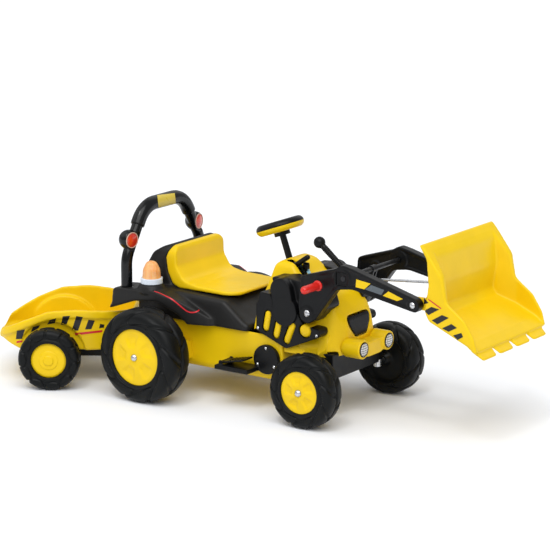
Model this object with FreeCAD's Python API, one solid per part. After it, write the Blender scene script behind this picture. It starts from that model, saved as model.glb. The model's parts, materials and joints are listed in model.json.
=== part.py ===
import FreeCAD, Part
import math
import os

os.makedirs("parts", exist_ok=True)

# Ride-on loader tractor with a tipping bucket and a hitched trailer, in millimetres.
# X runs forward from the rear axle, Y to the left and Z up from the floor.

# Fits between pieces
RUN_CLEARANCE = 0.05
SEAT_CLEARANCE = 0.1
PART_CLEARANCE = 0.3
CUT_OVERRUN = 6.0
FULL_TURN = 360

# Wheels: radius, width and track over the outer faces
REAR_TYRE_RADIUS = 128.0
REAR_TYRE_WIDTH = 94.0
REAR_HUB_RADIUS = 77.0
REAR_TRACK = 590.0
REAR_LUGS = 12
FRONT_TYRE_RADIUS = 98.0
FRONT_TYRE_WIDTH = 72.0
FRONT_HUB_RADIUS = 56.0
FRONT_TRACK = 476.0
FRONT_LUGS = 12
TRAILER_TYRE_RADIUS = 85.0
TRAILER_TYRE_WIDTH = 60.0
TRAILER_HUB_RADIUS = 48.0
TRAILER_TRACK = 430.0
TRAILER_LUGS = 10
TYRE_WALL = 4.0
HUB_TUBE_WALL = 6.0
LUG_HEIGHT_SHARE = 0.030
LUG_WIDTH_SHARE = 0.30
LUG_REACH_SHARE = 0.53
LUG_EDGE_SHARE = 0.05
LUG_LEAN = 32.0
SHOULDER_SHARE = 0.15
HUB_RECESS_SHARE = 0.17
HUB_DOME_SHARE = 0.12
HUB_RIM_SHARE = 0.45
HUB_FLAT_SHARE = 0.42
HUB_BOSS_SHARE = 0.26
HUB_POCKETS = 5
POCKET_INNER_SHARE = 0.38
POCKET_OUTER_SHARE = 0.84
POCKET_CORNER_SHARE = 0.07
POCKET_DEPTH_SHARE = 0.5
POCKET_SWEEP = 24.0
AXLE_RADIUS = 6.0
AXLE_CAP_RADIUS = 10.0
AXLE_CAP_HEIGHT = 8.0

# Lower chassis
WHEELBASE = 493.0
GROUND_CLEARANCE = 78.0
CHASSIS_HEIGHT = 127.0
CHASSIS_WIDTH = 256.0
CHASSIS_TAIL = 75.0
CHASSIS_NOSE_BEHIND = 125.0
CHASSIS_WALL = 4.0
CHASSIS_EDGE_SHARE = 0.18
STEERING_WINDOW_WIDTH = 96.0
STEERING_WINDOW_HEIGHT = 80.0

# Rear shell with fenders and seat back
FENDER_TAIL = 176.0
FENDER_LENGTH = 326.0
FENDER_HEIGHT = 85.0
FENDER_INNER = 110.0
FENDER_OUTER = 196.0
SADDLE_TAIL = 110.0
SADDLE_GAP = 1.0
SADDLE_HEIGHT = 80.0
SADDLE_WIDTH = 280.0
SADDLE_EDGE = 14.0
SHELL_WALL = 5.0
SHELL_DUCT = 40.0
SHELL_BAY_SHORT = 108.0
SEAT_BACK_TAIL = 100.0
SEAT_BACK_LENGTH = 120.0
SEAT_BACK_HEIGHT = 117.0
SEAT_BACK_WIDTH = 226.0
SEAT_BACK_EDGE = 8.0
SEAT_BACK_CORNER = 34.0
SEAT_PAN_CORNER = 30.0
SEAT_NOSE_CORNER = 52.0
SEAT_SINK = 2.0
SEAT_PAN_TAIL = 32.0
SEAT_PAN_LENGTH = 236.0
SEAT_PAN_WIDTH = 222.0
FENDER_SIDE_SHARES = (
    (0.000, 0.130, 0.030), (0.064, 0.380, 0.240), (0.077, 0.900, 0.120), (0.515, 1.000, 0.471),
    (0.724, 0.741, 0.706), (0.921, 0.388, 0.471), (1.000, 0.224, 0.071), (1.000, 0.000, 0.000),
    (0.786, 0.000, 0.047), (0.712, 0.282, 0.235), (0.540, 0.659, 0.471), (0.300, 0.560, 0.235),
)
FENDER_PLAN_SHARES = (
    (0.000, 0.000, 0.000), (0.000, 1.000, 0.280), (0.520, 1.000, 0.900), (1.000, 0.480, 0.200),
    (1.000, 0.000, 0.000),
)
SADDLE_SIDE_SHARES = (
    (0.000, 0.000, 0.000), (0.000, 0.900, 0.225), (0.323, 1.000, 0.500), (0.782, 0.925, 0.375),
    (0.949, 0.325, 0.200), (1.000, 0.200, 0.037), (1.000, 0.000, 0.000),
)
SEAT_BACK_SHARES = (
    (0.000, 0.000, 0.000), (0.033, 0.513, 0.239), (0.200, 0.786, 0.239), (0.433, 0.932, 0.103),
    (0.617, 1.000, 0.043), (0.717, 0.966, 0.017), (0.575, 0.684, 0.154), (0.625, 0.359, 0.154),
    (0.767, 0.077, 0.103), (1.000, -0.026, 0.000),
)
SEAT_PAN_SHARES = (
    (0.000, 0.701, 0.120), (0.025, 0.368, 0.137), (0.093, 0.094, 0.120), (0.186, 0.017, 0.051),
    (0.983, 0.017, 0.026), (1.000, 0.103, 0.034), (0.424, 0.137, 0.342), (0.254, 0.205, 0.291),
    (0.153, 0.513, 0.171), (0.144, 0.889, 0.120), (0.127, 0.974, 0.026), (0.068, 0.991, 0.026),
)

# Roll bar, its lamps and the beacon
ROLL_BAR_X = -124.0
ROLL_BAR_FOOT_Y = 165.0
ROLL_BAR_FOOT_Z = 262.0
ROLL_BAR_BEND_Z = 361.0
ROLL_BAR_TOP_Y = 86.0
ROLL_BAR_TOP_Z = 494.0
ROLL_BAR_RADIUS = 15.6
ROLL_BAR_SLEEVE_RADIUS = 19.6
ROLL_BAR_BEND_RADIUS = 80.0
ROLL_BAR_CORNER_RADIUS = 80.0
SLEEVE_START_SHARE = 0.62
LEG_END_SHARE = 0.69
LAMP_RISE_SHARE = 0.36
LAMP_RADIUS = 27.0
LAMP_FACE = 14.5
LAMP_OUT = 12.0
LAMP_BACK = 5.0
LAMP_TURN = 9.0
LAMP_LENS_RADIUS = 20.0
LAMP_LENS_DEPTH = 5.0
LAMP_LENS_DOME = 4.0
BEACON_X = -42.0
BEACON_Y = -160.0
BEACON_FOOT_RADIUS = 42.0
BEACON_PLINTH_RADIUS = 33.0
BEACON_PLINTH_HEIGHT = 22.0
BEACON_RING_RADIUS = 30.0
BEACON_RING_HEIGHT = 15.0
BEACON_DOME_RADIUS = 25.0
BEACON_DOME_HEIGHT = 46.0
BEACON_DOME_SHARES = (
    (0.00, 0.00, 0.00), (1.00, 0.00, 0.00), (0.94, 0.50, 0.60), (0.50, 1.00, 0.36), (0.00, 1.00, 0.00),
)

# Hood with the dash cowl, and the black trim on it
HOOD_TAIL_BEHIND = 231.0
HOOD_LENGTH = 270.0
HOOD_DROP = 27.0
HOOD_HEIGHT = 217.0
HOOD_WIDTH = 254.0
HOOD_TOP_WIDTH = 118.0
HOOD_TAPER_LENGTH = 136.0
HOOD_CHEEK_LENGTH = 38.0
HOOD_CHEEK_SHARE = 0.86
HOOD_NOSE_SHARE = 0.48
HOOD_SHOULDER_RADIUS = 90.0
HOOD_CHEEK_RADIUS = 34.0
HOOD_CORNER_RADIUS = 20.0
HOOD_NOSE_PROUD = 4.0
HOOD_SKIRT = 13.0
HOOD_WALL = 4.0
HOOD_CREST_RADIUS = 40.0
HOOD_CREST_SHARES = (
    (-0.040, 1.020, 1.020), (0.215, 1.020, 1.020), (0.335, 0.995, 1.020), (0.460, 0.820, 1.020),
    (0.511, 0.800, 1.020), (0.665, 0.755, 0.955), (0.800, 0.660, 0.905), (0.881, 0.535, 0.880),
    (0.967, 0.405, 0.640), (1.030, 0.190, 0.450),
)
HOOD_SIDE_SHARES = (
    (0.000, 0.124, 0.000), (0.000, 0.359, 0.065), (0.081, 0.700, 0.138), (0.126, 0.940, 0.060),
    (0.200, 1.000, 0.080), (0.330, 0.975, 0.110), (0.455, 0.800, 0.180), (0.665, 0.735, 0.200),
    (0.800, 0.640, 0.180), (0.967, 0.385, 0.110), (1.000, 0.165, 0.060), (1.000, 0.010, 0.028),
    (0.955, -0.060, 0.028), (0.396, -0.060, 0.000), (0.396, 0.124, 0.000),
)
PANEL_AHEAD = 25.0
PANEL_LENGTH = 208.0
PANEL_HEIGHT = 143.0
PANEL_PROUD = 9.0
PANEL_INSERT_RISE = 2.0
PANEL_SHARES = (
    (0.000, 0.259, 0.049), (0.466, 0.000, 0.098), (1.000, 0.336, 0.084), (0.962, 0.462, 0.070),
    (0.731, 0.503, 0.070), (0.606, 0.755, 0.070), (0.298, 0.769, 0.056), (0.221, 0.986, 0.035),
    (0.058, 1.000, 0.042), (0.038, 0.839, 0.042), (0.005, 0.769, 0.042),
)
PANEL_SLOT_RADIUS = 10.5
PANEL_SLOT_SHARES = (
    (0.185, 0.600, 0.150, 0.330), (0.355, 0.500, 0.310, 0.225), (0.560, 0.460, 0.475, 0.160),
)
PANEL_DISC_SHARES = (0.755, 0.400)
PANEL_DISC_RADIUS = 19.0
TOWER_BEHIND = 136.0
TOWER_BELOW = 40.0
TOWER_LENGTH = 183.0
TOWER_HEIGHT = 118.0
TOWER_SET_IN = 6.0
TOWER_DEPTH = 66.0
TOWER_SHARES = (
    (0.022, 0.983, 0.051), (0.142, 0.525, 0.085), (0.109, 0.254, 0.085), (0.246, 0.000, 0.220),
    (0.574, 0.068, 0.169), (0.831, 0.136, 0.186), (0.984, 0.441, 0.153), (0.918, 0.746, 0.119),
    (0.612, 0.949, 0.119), (0.301, 1.000, 0.119),
)
TOWER_BOSS_SHARES = (0.317, 0.271)
TOWER_BOSS_RADIUS = 40.0
TOWER_BOSS_RISE = 20.0
TOWER_RIDGE_SHARES = (0.250, 0.740)
TOWER_RIDGE_RADIUS = 32.0
GRILLE_TOP_Z = 265.0
GRILLE_HEIGHT = 53.0
GRILLE_WIDTH = 104.0
GRILLE_REACH = 40.0
GRILLE_SHARES = (
    (-0.500, 1.000, 0.160), (0.500, 1.000, 0.160), (0.430, 0.520, 0.200), (0.240, 0.000, 0.180),
    (-0.240, 0.000, 0.180), (-0.430, 0.520, 0.200),
)
BUMPER_AHEAD = 81.0
BUMPER_DEPTH = 62.0
BUMPER_Z = 162.0
BUMPER_HEIGHT = 38.0
BUMPER_WIDTH = 150.0
BUMPER_SHARES = (
    (-0.500, 1.000, 0.200), (0.500, 1.000, 0.200), (0.420, 0.300, 0.300), (0.200, 0.000, 0.300),
    (-0.200, 0.000, 0.300), (-0.420, 0.300, 0.300),
)
HEADLIGHT_Y = 60.0
HEADLIGHT_Z = 189.0
HEADLIGHT_POD_RADIUS = 26.0
HEADLIGHT_POD_LENGTH = 46.0
HEADLIGHT_AHEAD = 87.0
HEADLIGHT_LENS_RADIUS = 19.0
HEADLIGHT_LENS_DEPTH = 6.0
HEADLIGHT_LENS_DOME = 4.0

# Loader arms, tilt linkage and bucket
ARM_PIVOT_BEHIND = 35.0
ARM_PIVOT_Z = 287.0
ARM_REACH = 322.0
ARM_GAP = 1.0
ARM_THICKNESS = 26.0
ARM_SKIN = 6.0
ARM_RIM = 7.0
ARM_RELIEF = 2.5
ARM_RECESS_SIZE = 36.0
ARM_RECESS_DEPTH = 7.0
ARM_PIVOT_BOSS_RADIUS = 19.0
ELBOW_BOSS_RADIUS = 27.0
BUCKET_BOSS_RADIUS = 16.0
ELBOW_SHARES = (0.335, 0.329)
BUCKET_PIN_SHARES = (1.000, 0.211)
HANDLE_SHARES = (0.112, 0.248)
ARM_SHARES = (
    (-0.062, 0.304, 0.043), (0.273, 0.407, 0.068), (0.335, 0.446, 0.075), (0.435, 0.425, 0.093),
    (1.031, 0.262, 0.037), (1.074, 0.211, 0.043), (1.037, 0.152, 0.040), (0.981, 0.160, 0.031),
    (0.435, 0.258, 0.124), (0.286, 0.236, 0.075), (0.081, -0.043, 0.043), (0.012, -0.087, 0.043),
    (-0.068, -0.062, 0.056), (-0.084, 0.062, 0.062),
)
ARM_BOLT_RADIUS = 6.0
ARM_BOLT_HEAD_RADIUS = 9.0
BUCKET_BOLT_RADIUS = 5.0
BUCKET_BOLT_HEAD_RADIUS = 8.0
BOLT_HEAD_HEIGHT = 4.0
BOLT_GRIP = 12.0
HANDLE_LENGTH = 62.0
HANDLE_RADIUS = 10.5
HANDLE_COLLAR_RADIUS = 14.0
HANDLE_COLLAR_HEIGHT = 5.0
ELBOW_SHAFT_RADIUS = 7.0
TILT_CRANK_RADIUS = 30.0
TILT_REST_LEAN = 7.0
TILT_PIN_RADIUS = 4.0
TILT_EYE_RADIUS = 10.0
TILT_EYE_THICKNESS = 9.0
TILT_FORK_THICKNESS = 5.0
TILT_SLOT_TRAVEL = 12.4
TILT_ROD_RADIUS = 3.5
LEVER_SET_IN = 17.0
LEVER_COLLAR_RADIUS = 15.0
LEVER_COLLAR_WIDTH = 14.0
LEVER_LENGTH = 124.0
LEVER_ANGLE = 141.5
LEVER_FOOT_RADIUS = 6.5
LEVER_NECK_RADIUS = 8.5
LEVER_BALL_RADIUS = 15.5
BUCKET_SIZE = 200.0
BUCKET_WIDTH = 352.0
BUCKET_WALL = 8.0
BUCKET_FLARE_SHARES = (
    (0.100, -0.415, 0.000), (0.360, -0.415, 0.000), (0.620, -0.475, 0.000), (1.600, -0.478, 0.000),
    (1.600, 0.478, 0.000), (0.620, 0.475, 0.000), (0.360, 0.415, 0.000), (0.100, 0.415, 0.000),
)
BUCKET_SIDE_SHARES = (
    (0.170, 0.825, 0.015), (0.285, 0.655, 0.150), (0.315, 0.325, 0.300), (0.265, -0.020, 0.120),
    (0.330, -0.135, 0.070), (0.890, -0.375, 0.050), (1.000, -0.460, 0.010), (1.030, -0.430, 0.010),
    (0.980, -0.260, 0.100), (0.840, -0.050, 0.120), (0.580, 0.140, 0.100), (0.520, 0.450, 0.120),
    (0.320, 0.710, 0.120), (0.210, 0.840, 0.020),
)
BUCKET_HOLLOW_SHARES = (
    (0.215, 0.880, 0.000), (0.330, 0.670, 0.150), (0.360, 0.325, 0.300), (0.310, 0.000, 0.090),
    (0.370, -0.095, 0.060), (0.905, -0.330, 0.050), (1.040, -0.435, 0.000), (1.500, -0.300, 0.000),
    (1.500, 0.950, 0.000),
)
BUCKET_LUG_THICKNESS = 12.0
BUCKET_LUG_RADIUS = 17.0
BUCKET_LUG_LENGTH = 62.0
TILT_LUG_THICKNESS = 6.0
TILT_LUG_RADIUS = 12.0
TOOTH_COUNT = 4
TOOTH_LENGTH = 34.0
TOOTH_THICKNESS = 8.0
TOOTH_ROOT_SHARE = 0.96
TOOTH_TIP_SHARE = 0.74
TOOTH_LEAN = 35.0
TOOTH_START_SHARES = (0.965, -0.425)

# Front axle and steering
KINGPIN_Y = 140.0
KINGPIN_RADIUS = 5.0
KINGPIN_EYE_RADIUS = 13.0
STEERING_ARM = 45.0
STEERING_ARM_THICKNESS = 6.0
STEERING_PIN_RADIUS = 4.0
STEERING_PIN_SLACK = 0.5
TIE_ROD_Z = 134.0
TIE_ROD_THICKNESS = 6.0
TIE_ROD_WIDTH = 16.0
STUB_BLOCK_RADIUS = 11.0
BEAM_DEPTH = 46.0
BEAM_WIDTH = 250.0
BEAM_BOTTOM_Z = 107.0
BEAM_DECK_Z = 176.0
BEAM_DECK_THICKNESS = 9.0
BEAM_DECK_WIDTH = 136.0
BEAM_DECK_LAP = 23.0
BEAM_DECK_AHEAD = 40.0
STEERING_WHEEL_BEHIND = 223.0
STEERING_WHEEL_Z = 470.0
STEERING_TILT = 20.0
STEERING_RIM_RADIUS = 51.0
STEERING_RIM_THICKNESS = 30.0
STEERING_SPOKE_WIDTH = 22.0
STEERING_SPOKE_THICKNESS = 8.0
STEERING_SPOKE_ANGLES = (90.0, 210.0, 330.0)
STEERING_HUB_RADIUS = 22.0
STEERING_HUB_HEIGHT = 34.0
STEERING_HUB_TOP = 8.0
STEERING_SHAFT_RADIUS = 6.0
COLUMN_SLEEVE_RADIUS = 9.0
COLUMN_SLEEVE_LENGTH = 100.0
STEERING_SOCKET = 14.0
CRANK_Z = 164.0
CRANK_THICKNESS = 8.0
CRANK_EYE_RADIUS = 12.0
CRANK_PIN_LENGTH = 18.0
HORN_RADIUS = 13.0
HORN_HEIGHT = 7.0
HORN_TRAVEL = 2.5

# Drive and battery
GEAR_MODULE = 2.0
GEAR_ROOT_SHARE = 1.25
GEAR_TEETH = 40
PINION_TEETH = 10
GEAR_BACKLASH = 0.35
FLANK_STEPS = 5
GEAR_WIDTH = 12.0
PINION_WIDTH = 15.0
PRESSURE_ANGLE = 20.0
GEAR_STANDOFF = 30.0
GEARBOX_DEPTH = 44.0
GEARBOX_WALL = 4.0
GEARBOX_MARGIN = 7.0
DRIVE_SLEEVE_RADIUS = 13.0
MOTOR_RADIUS = 18.0
MOTOR_LENGTH = 57.0
MOTOR_SHAFT_RADIUS = 2.5
MOTOR_SHAFT_DEPTH = 20.0
MOTOR_BOSS_RADIUS = 8.0
BATTERY_X = 130.0
BATTERY_LENGTH = 108.0
BATTERY_WIDTH = 70.0
BATTERY_HEIGHT = 94.0
TERMINAL_SIZE = 8.0
TERMINAL_SPACING = 40.0
SOCKET_X = 190.0
SOCKET_Z = 160.0
SOCKET_FLANGE_RADIUS = 14.0
SOCKET_FLANGE_THICKNESS = 3.0
SOCKET_BODY_RADIUS = 9.0
SOCKET_BODY_LENGTH = 22.0
SOCKET_BORE_RADIUS = 3.0
SOCKET_BORE_DEPTH = 16.0

# Footrests, pedal, gear lever, key and screws
FOOTREST_BEHIND = 301.0
FOOTREST_LENGTH = 108.0
FOOTREST_REACH = 66.0
FOOTREST_Z = 106.0
FOOTREST_THICKNESS = 12.0
FOOT_DISC_BEHIND = 171.0
FOOT_DISC_Z = 139.0
FOOT_DISC_RADIUS = 40.0
FOOT_DISC_THICKNESS = 13.0
FOOT_SCREW_SHARE = 0.78
FOOT_SCREW_ANGLES = (90.0, 210.0, 330.0)
PEDAL_LENGTH = 74.0
PEDAL_WIDTH = 44.0
PEDAL_THICKNESS = 5.0
PEDAL_TILT = 12.0
PEDAL_PIN_RADIUS = 3.0
PEDAL_BARREL_RADIUS = 4.5
PEDAL_PIN_LENGTH = 3.0
PEDAL_EAR_RADIUS = 7.0
PEDAL_EAR_THICKNESS = 4.0
PEDAL_PIN_RISE = 6.0
PEDAL_SET_IN = 8.0
GEAR_LEVER_BEHIND = 155.0
GEAR_LEVER_Y = -36.0
GEAR_LEVER_Z = 356.0
GEAR_LEVER_RADIUS = 7.0
GEAR_LEVER_SHARES = ((0.0, 0.0), (0.10, 0.42), (0.46, 0.66), (1.00, 1.00))
GEAR_LEVER_REACH = 46.0
GEAR_LEVER_RISE = 50.0
GEAR_LEVER_BEND = 14.0
GEAR_SLOT_AHEAD = 40.0
GEAR_SLOT_BEHIND = 13.3
GEAR_SLOT_WIDTH = 18.0
GEAR_PIN_RADIUS = 3.0
GEAR_PIN_LENGTH = 34.0
GEAR_EAR_THICKNESS = 4.0
GEAR_EAR_RADIUS = 8.0
KEY_BEHIND = 124.0
KEY_Y = -20.0
KEY_RADIUS = 9.0
KEY_HEIGHT = 12.0
KEY_GRIP_HEIGHT = 6.0
KEY_LIFT = 1.2
KEY_STEM_RADIUS = 3.0
KEY_STEM_LENGTH = 14.0
KEY_GRIP_WIDTH = 5.0
SCREW_HEAD_RADIUS = 4.2
SCREW_HEAD_HEIGHT = 2.4
SCREW_SHANK_RADIUS = 2.0
SCREW_SHANK_LENGTH = 7.0
PANEL_SCREW_SHARES = ((0.030, 0.300), (0.930, 0.345))

# Hitch and trailer
HITCH_X = -138.0
HITCH_PLATE_THICKNESS = 12.0
HITCH_PLATE_WIDTH = 52.0
HITCH_FLANGE_WIDTH = 110.0
HITCH_FLANGE_HEIGHT = 46.0
HITCH_FLANGE_THICKNESS = 5.0
HITCH_PIN_RADIUS = 7.0
HITCH_PIN_RISE = 20.0
HITCH_CAP_RADIUS = 10.0
HITCH_CAP_HEIGHT = 5.0
TRAILER_YAW = 32.0
TRAILER_AXLE_BACK = 286.0
TUB_TAIL = 443.0
TUB_LENGTH = 384.0
TUB_HEIGHT = 116.0
TUB_WIDTH = 292.0
TUB_FLOOR_Z = 97.0
TUB_WALL = 6.0
TUB_LIP_HEIGHT = 22.0
TUB_LIP_REACH = 6.0
ARCH_RADIUS = 93.0
ARCH_DEPTH = 12.0
TUB_SIDE_SHARES = (
    (0.000, 0.190, 0.086), (0.026, 0.397, 0.052), (0.208, 0.707, 0.517), (0.391, 0.948, 0.345),
    (0.586, 1.000, 0.517), (0.859, 0.931, 0.172), (0.979, 0.897, 0.069), (1.000, 0.828, 0.052),
    (0.969, 0.172, 0.172), (0.911, 0.000, 0.121), (0.182, 0.000, 0.207),
)
TUB_PLAN_SHARES = (
    (0.000, -0.260, 0.390), (0.180, -0.500, 0.390), (0.680, -0.500, 0.900), (1.000, -0.330, 0.330),
    (1.000, 0.330, 0.330), (0.680, 0.500, 0.900), (0.180, 0.500, 0.390), (0.000, 0.260, 0.390),
)
TUB_HOLLOW_SHARES = (
    (-0.020, 0.270, 0.000), (0.190, 0.055, 0.200), (0.900, 0.055, 0.120), (0.952, 0.200, 0.150),
    (0.985, 1.400, 0.000), (-0.020, 1.400, 0.000),
)
DRAWBAR_TAIL = 325.0
DRAWBAR_LENGTH = 345.0
DRAWBAR_HEIGHT = 78.0
DRAWBAR_WIDTH = 56.0
DRAWBAR_SHARES = (
    (0.000, 0.077, 0.051), (0.000, 0.590, 0.000), (0.748, 0.590, 0.051), (0.829, 1.000, 0.077),
    (1.000, 1.000, 0.000), (1.000, 0.872, 0.000), (0.846, 0.872, 0.051), (0.777, 0.282, 0.128),
    (0.713, 0.000, 0.128), (0.058, 0.000, 0.128),
)
DRAWBAR_BED_SHARE = 0.590
DRAWBAR_EYE_SHARE = 0.872

# Heights and places that follow from the sizes
chassis_top = GROUND_CLEARANCE + CHASSIS_HEIGHT
chassis_side = CHASSIS_WIDTH / 2
rear_axle_z = REAR_TYRE_RADIUS
front_axle_z = FRONT_TYRE_RADIUS
chassis_nose = WHEELBASE - CHASSIS_NOSE_BEHIND
chassis_length = CHASSIS_TAIL + chassis_nose
hood_tail = WHEELBASE - HOOD_TAIL_BEHIND
saddle_length = SADDLE_TAIL + hood_tail - SADDLE_GAP
deck_tail = chassis_nose - BEAM_DECK_LAP
deck_nose = WHEELBASE + BEAM_DECK_AHEAD
bumper_front = WHEELBASE + BUMPER_AHEAD
headlight_front = WHEELBASE + HEADLIGHT_AHEAD
arm_pivot_x = WHEELBASE - ARM_PIVOT_BEHIND
steering_wheel_x = WHEELBASE - STEERING_WHEEL_BEHIND
gear_lever_x = WHEELBASE - GEAR_LEVER_BEHIND
key_x = WHEELBASE - KEY_BEHIND
foot_disc_x = WHEELBASE - FOOT_DISC_BEHIND
footrest_x = WHEELBASE - FOOTREST_BEHIND
panel_face = HOOD_WIDTH / 2 + PANEL_PROUD
tower_face = HOOD_WIDTH / 2 - TOWER_SET_IN
tower_back = tower_face - TOWER_DEPTH
boss_face = tower_face + TOWER_BOSS_RISE
arm_inner = tower_face + ARM_GAP
lever_y = arm_inner - LEVER_SET_IN
gear_face_y = chassis_side + GEAR_STANDOFF


def vec(x, y, z):
    return FreeCAD.Vector(x, y, z)


ALONG = vec(1, 0, 0)
LEFT = vec(0, 1, 0)
UP = vec(0, 0, 1)
ORIGIN = vec(0, 0, 0)


def turn_about_y(point, centre, degrees):
    """A point turned about a line along Y, positive lifting what lies ahead."""
    angle = math.radians(degrees)
    dx = point.x - centre.x
    dz = point.z - centre.z
    x = centre.x + dx * math.cos(angle) - dz * math.sin(angle)
    z = centre.z + dx * math.sin(angle) + dz * math.cos(angle)
    return vec(x, point.y, z)


def corner_arc(before, here, after, radius):
    """Start, middle and end of the arc that rounds one corner."""
    back = (before - here).normalize()
    ahead = (after - here).normalize()
    half = back.getAngle(ahead) / 2
    reach = radius / math.tan(half)
    middle = (back + ahead).normalize() * (radius / math.sin(half) - radius)
    return here + back * reach, here + middle, here + ahead * reach


def rounded_edges(corners, radii, closed):
    """Straight runs and arcs through the corners, each rounded to its radius."""
    count = len(corners)
    pieces = []
    for i in range(count):
        inner = closed or 0 < i < count - 1
        if inner and radii[i] > 0:
            after = corners[(i + 1) % count]
            pieces.append(corner_arc(corners[i - 1], corners[i], after, radii[i]))
        else:
            pieces.append((corners[i], None, corners[i]))
    edges = []
    for i in range(count):
        start, middle, end = pieces[i]
        if middle is not None:
            edges.append(Part.Arc(start, middle, end).toShape())
        if closed or i < count - 1:
            following = pieces[(i + 1) % count][0]
            if (following - end).Length > RUN_CLEARANCE:
                edges.append(Part.makeLine(end, following))
    return edges


def rounded_face(corners, radii):
    return Part.Face(Part.Wire(rounded_edges(corners, radii, True)))


def slab(shares, origin, across, up, depth):
    """A plate: an outline in shares of two directions, pushed along a third."""
    corners = [origin + across * u + up * w for u, w, r in shares]
    radii = [up.Length * r for u, w, r in shares]
    return rounded_face(corners, radii).extrude(depth)


def side_slab(shares, x, z, length, height, y_from, y_to):
    return slab(shares, vec(x, y_from, z), ALONG * length, UP * height, LEFT * (y_to - y_from))


def plan_slab(shares, x, y, length, width, z_from, z_to):
    return slab(shares, vec(x, y, z_from), ALONG * length, LEFT * width, UP * (z_to - z_from))


def front_slab(shares, y, z, width, height, x_from, x_to):
    return slab(shares, vec(x_from, y, z), LEFT * width, UP * height, ALONG * (x_to - x_from))


def block(x_from, x_to, y_from, y_to, z_from, z_to):
    corner = vec(x_from, y_from, z_from)
    return Part.makeBox(x_to - x_from, y_to - y_from, z_to - z_from, corner)


def rod(start, end, radius):
    return Part.makeCylinder(radius, (end - start).Length, start, end - start)


def cross_rod(x, z, y_from, y_to, radius):
    """A round bar along Y."""
    return rod(vec(x, y_from, z), vec(x, y_to, z), radius)


def post(x, y, z_from, z_to, radius):
    """A round bar along Z."""
    return rod(vec(x, y, z_from), vec(x, y, z_to), radius)


def turned(profile):
    """A round solid about the Y axis from corners given as radius, place along Y, rounding."""
    corners = [vec(r, y, 0) for r, y, rounding in profile]
    face = rounded_face(corners, [rounding for r, y, rounding in profile])
    return face.revolve(ORIGIN, LEFT, FULL_TURN)


def domed(radius, rise):
    """A shallow cap standing on the XY plane."""
    ball = (radius * radius + rise * rise) / (2 * rise)
    cap = Part.makeSphere(ball, vec(0, 0, rise - ball))
    return cap.common(block(-ball, ball, -ball, ball, 0, ball))


def facing(shape, direction, place):
    """Turns a shape built along Z to look along a direction, then moves it."""
    turned_shape = shape.copy()
    spin = FreeCAD.Rotation(UP, direction)
    turned_shape.Placement = FreeCAD.Placement(place, spin).multiply(turned_shape.Placement)
    return turned_shape


def mirrored(shape):
    return shape.mirror(ORIGIN, LEFT)


def both(shape):
    return Part.makeCompound([shape, mirrored(shape)])


def moved(shape, x, y, z):
    copy = shape.copy()
    copy.translate(vec(x, y, z))
    return copy


def rounded(shape, radius, wanted):
    """Rounds the edges whose middle point the test picks."""
    edges = [e for e in shape.Edges if wanted(e.CenterOfMass)]
    return shape.makeFillet(radius, edges)


def biggest(shape):
    """The main solid of a cut that also left crumbs."""
    return max(shape.Solids, key=lambda solid: solid.Volume)


def pipe(corners, radii, radius):
    """A round bar along a path of straight runs and bends."""
    path = Part.Wire(rounded_edges(corners, radii, False))
    start = corners[1] - corners[0]
    section = Part.Wire(Part.makeCircle(radius, corners[0], start))
    return path.makePipeShell([section], True, True)


def link(first, second, radius, y_from, y_to):
    """A flat bar with round ends between two points of a side view."""
    run = second - first
    across = vec(-run.z, 0, run.x).normalize() * radius
    corners = [first + across, first - across, second - across, second + across]
    corners = [vec(c.x, y_from, c.z) for c in corners]
    bar = rounded_face(corners, [0, 0, 0, 0]).extrude(LEFT * (y_to - y_from))
    ends = [cross_rod(p.x, p.z, y_from, y_to, radius) for p in (first, second)]
    return bar.fuse(ends).removeSplitter()


# Wheels, built with the outer face at Y zero and the inner face at the width
def tyre(radius, width, hub_radius, lugs):
    tread = radius * (1 - LUG_HEIGHT_SHARE)
    shoulder = width * SHOULDER_SHARE
    recess = width * HUB_RECESS_SHARE
    bore = AXLE_RADIUS + RUN_CLEARANCE
    seat = hub_radius + SEAT_CLEARANCE
    tube = AXLE_RADIUS + HUB_TUBE_WALL
    inner_seat = seat + TYRE_WALL
    inner_tread = tread - TYRE_WALL
    inner_shoulder = shoulder - TYRE_WALL
    back = width - TYRE_WALL
    body = turned([
        (bore, recess, 0), (seat, recess, 0), (seat, 0, TYRE_WALL / 2),
        (tread, 0, shoulder), (tread, width, shoulder), (bore, width, 0),
    ])
    hollow = turned([
        (tube, recess + TYRE_WALL, 0), (inner_seat, recess + TYRE_WALL, 0),
        (inner_seat, TYRE_WALL, 0), (inner_tread, TYRE_WALL, inner_shoulder),
        (inner_tread, back, inner_shoulder), (tread - shoulder, back, 0),
        (tread - shoulder, width + CUT_OVERRUN, 0), (tube, width + CUT_OVERRUN, 0),
    ])
    edge = width * LUG_EDGE_SHARE
    ring = turned([
        (tread - shoulder, edge, 0), (radius, edge, shoulder),
        (radius, width - edge, shoulder), (tread - shoulder, width - edge, 0),
    ])
    breadth = radius * LUG_WIDTH_SHARE
    bar = block(-breadth / 2, breadth / 2, -width, width * LUG_REACH_SHARE, 0, radius * 2)
    bar.rotate(vec(0, width / 2, 0), UP, LUG_LEAN)
    lug = ring.common(bar)
    other = moved(mirrored(lug), 0, width, 0)
    pitch = FULL_TURN / lugs
    raised = []
    for i in range(lugs):
        near = lug.copy()
        near.rotate(ORIGIN, LEFT, i * pitch)
        far = other.copy()
        far.rotate(ORIGIN, LEFT, (i + 1 / 2) * pitch)
        raised += [near, far]
    return body.fuse(raised).cut(hollow).removeSplitter()


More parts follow.
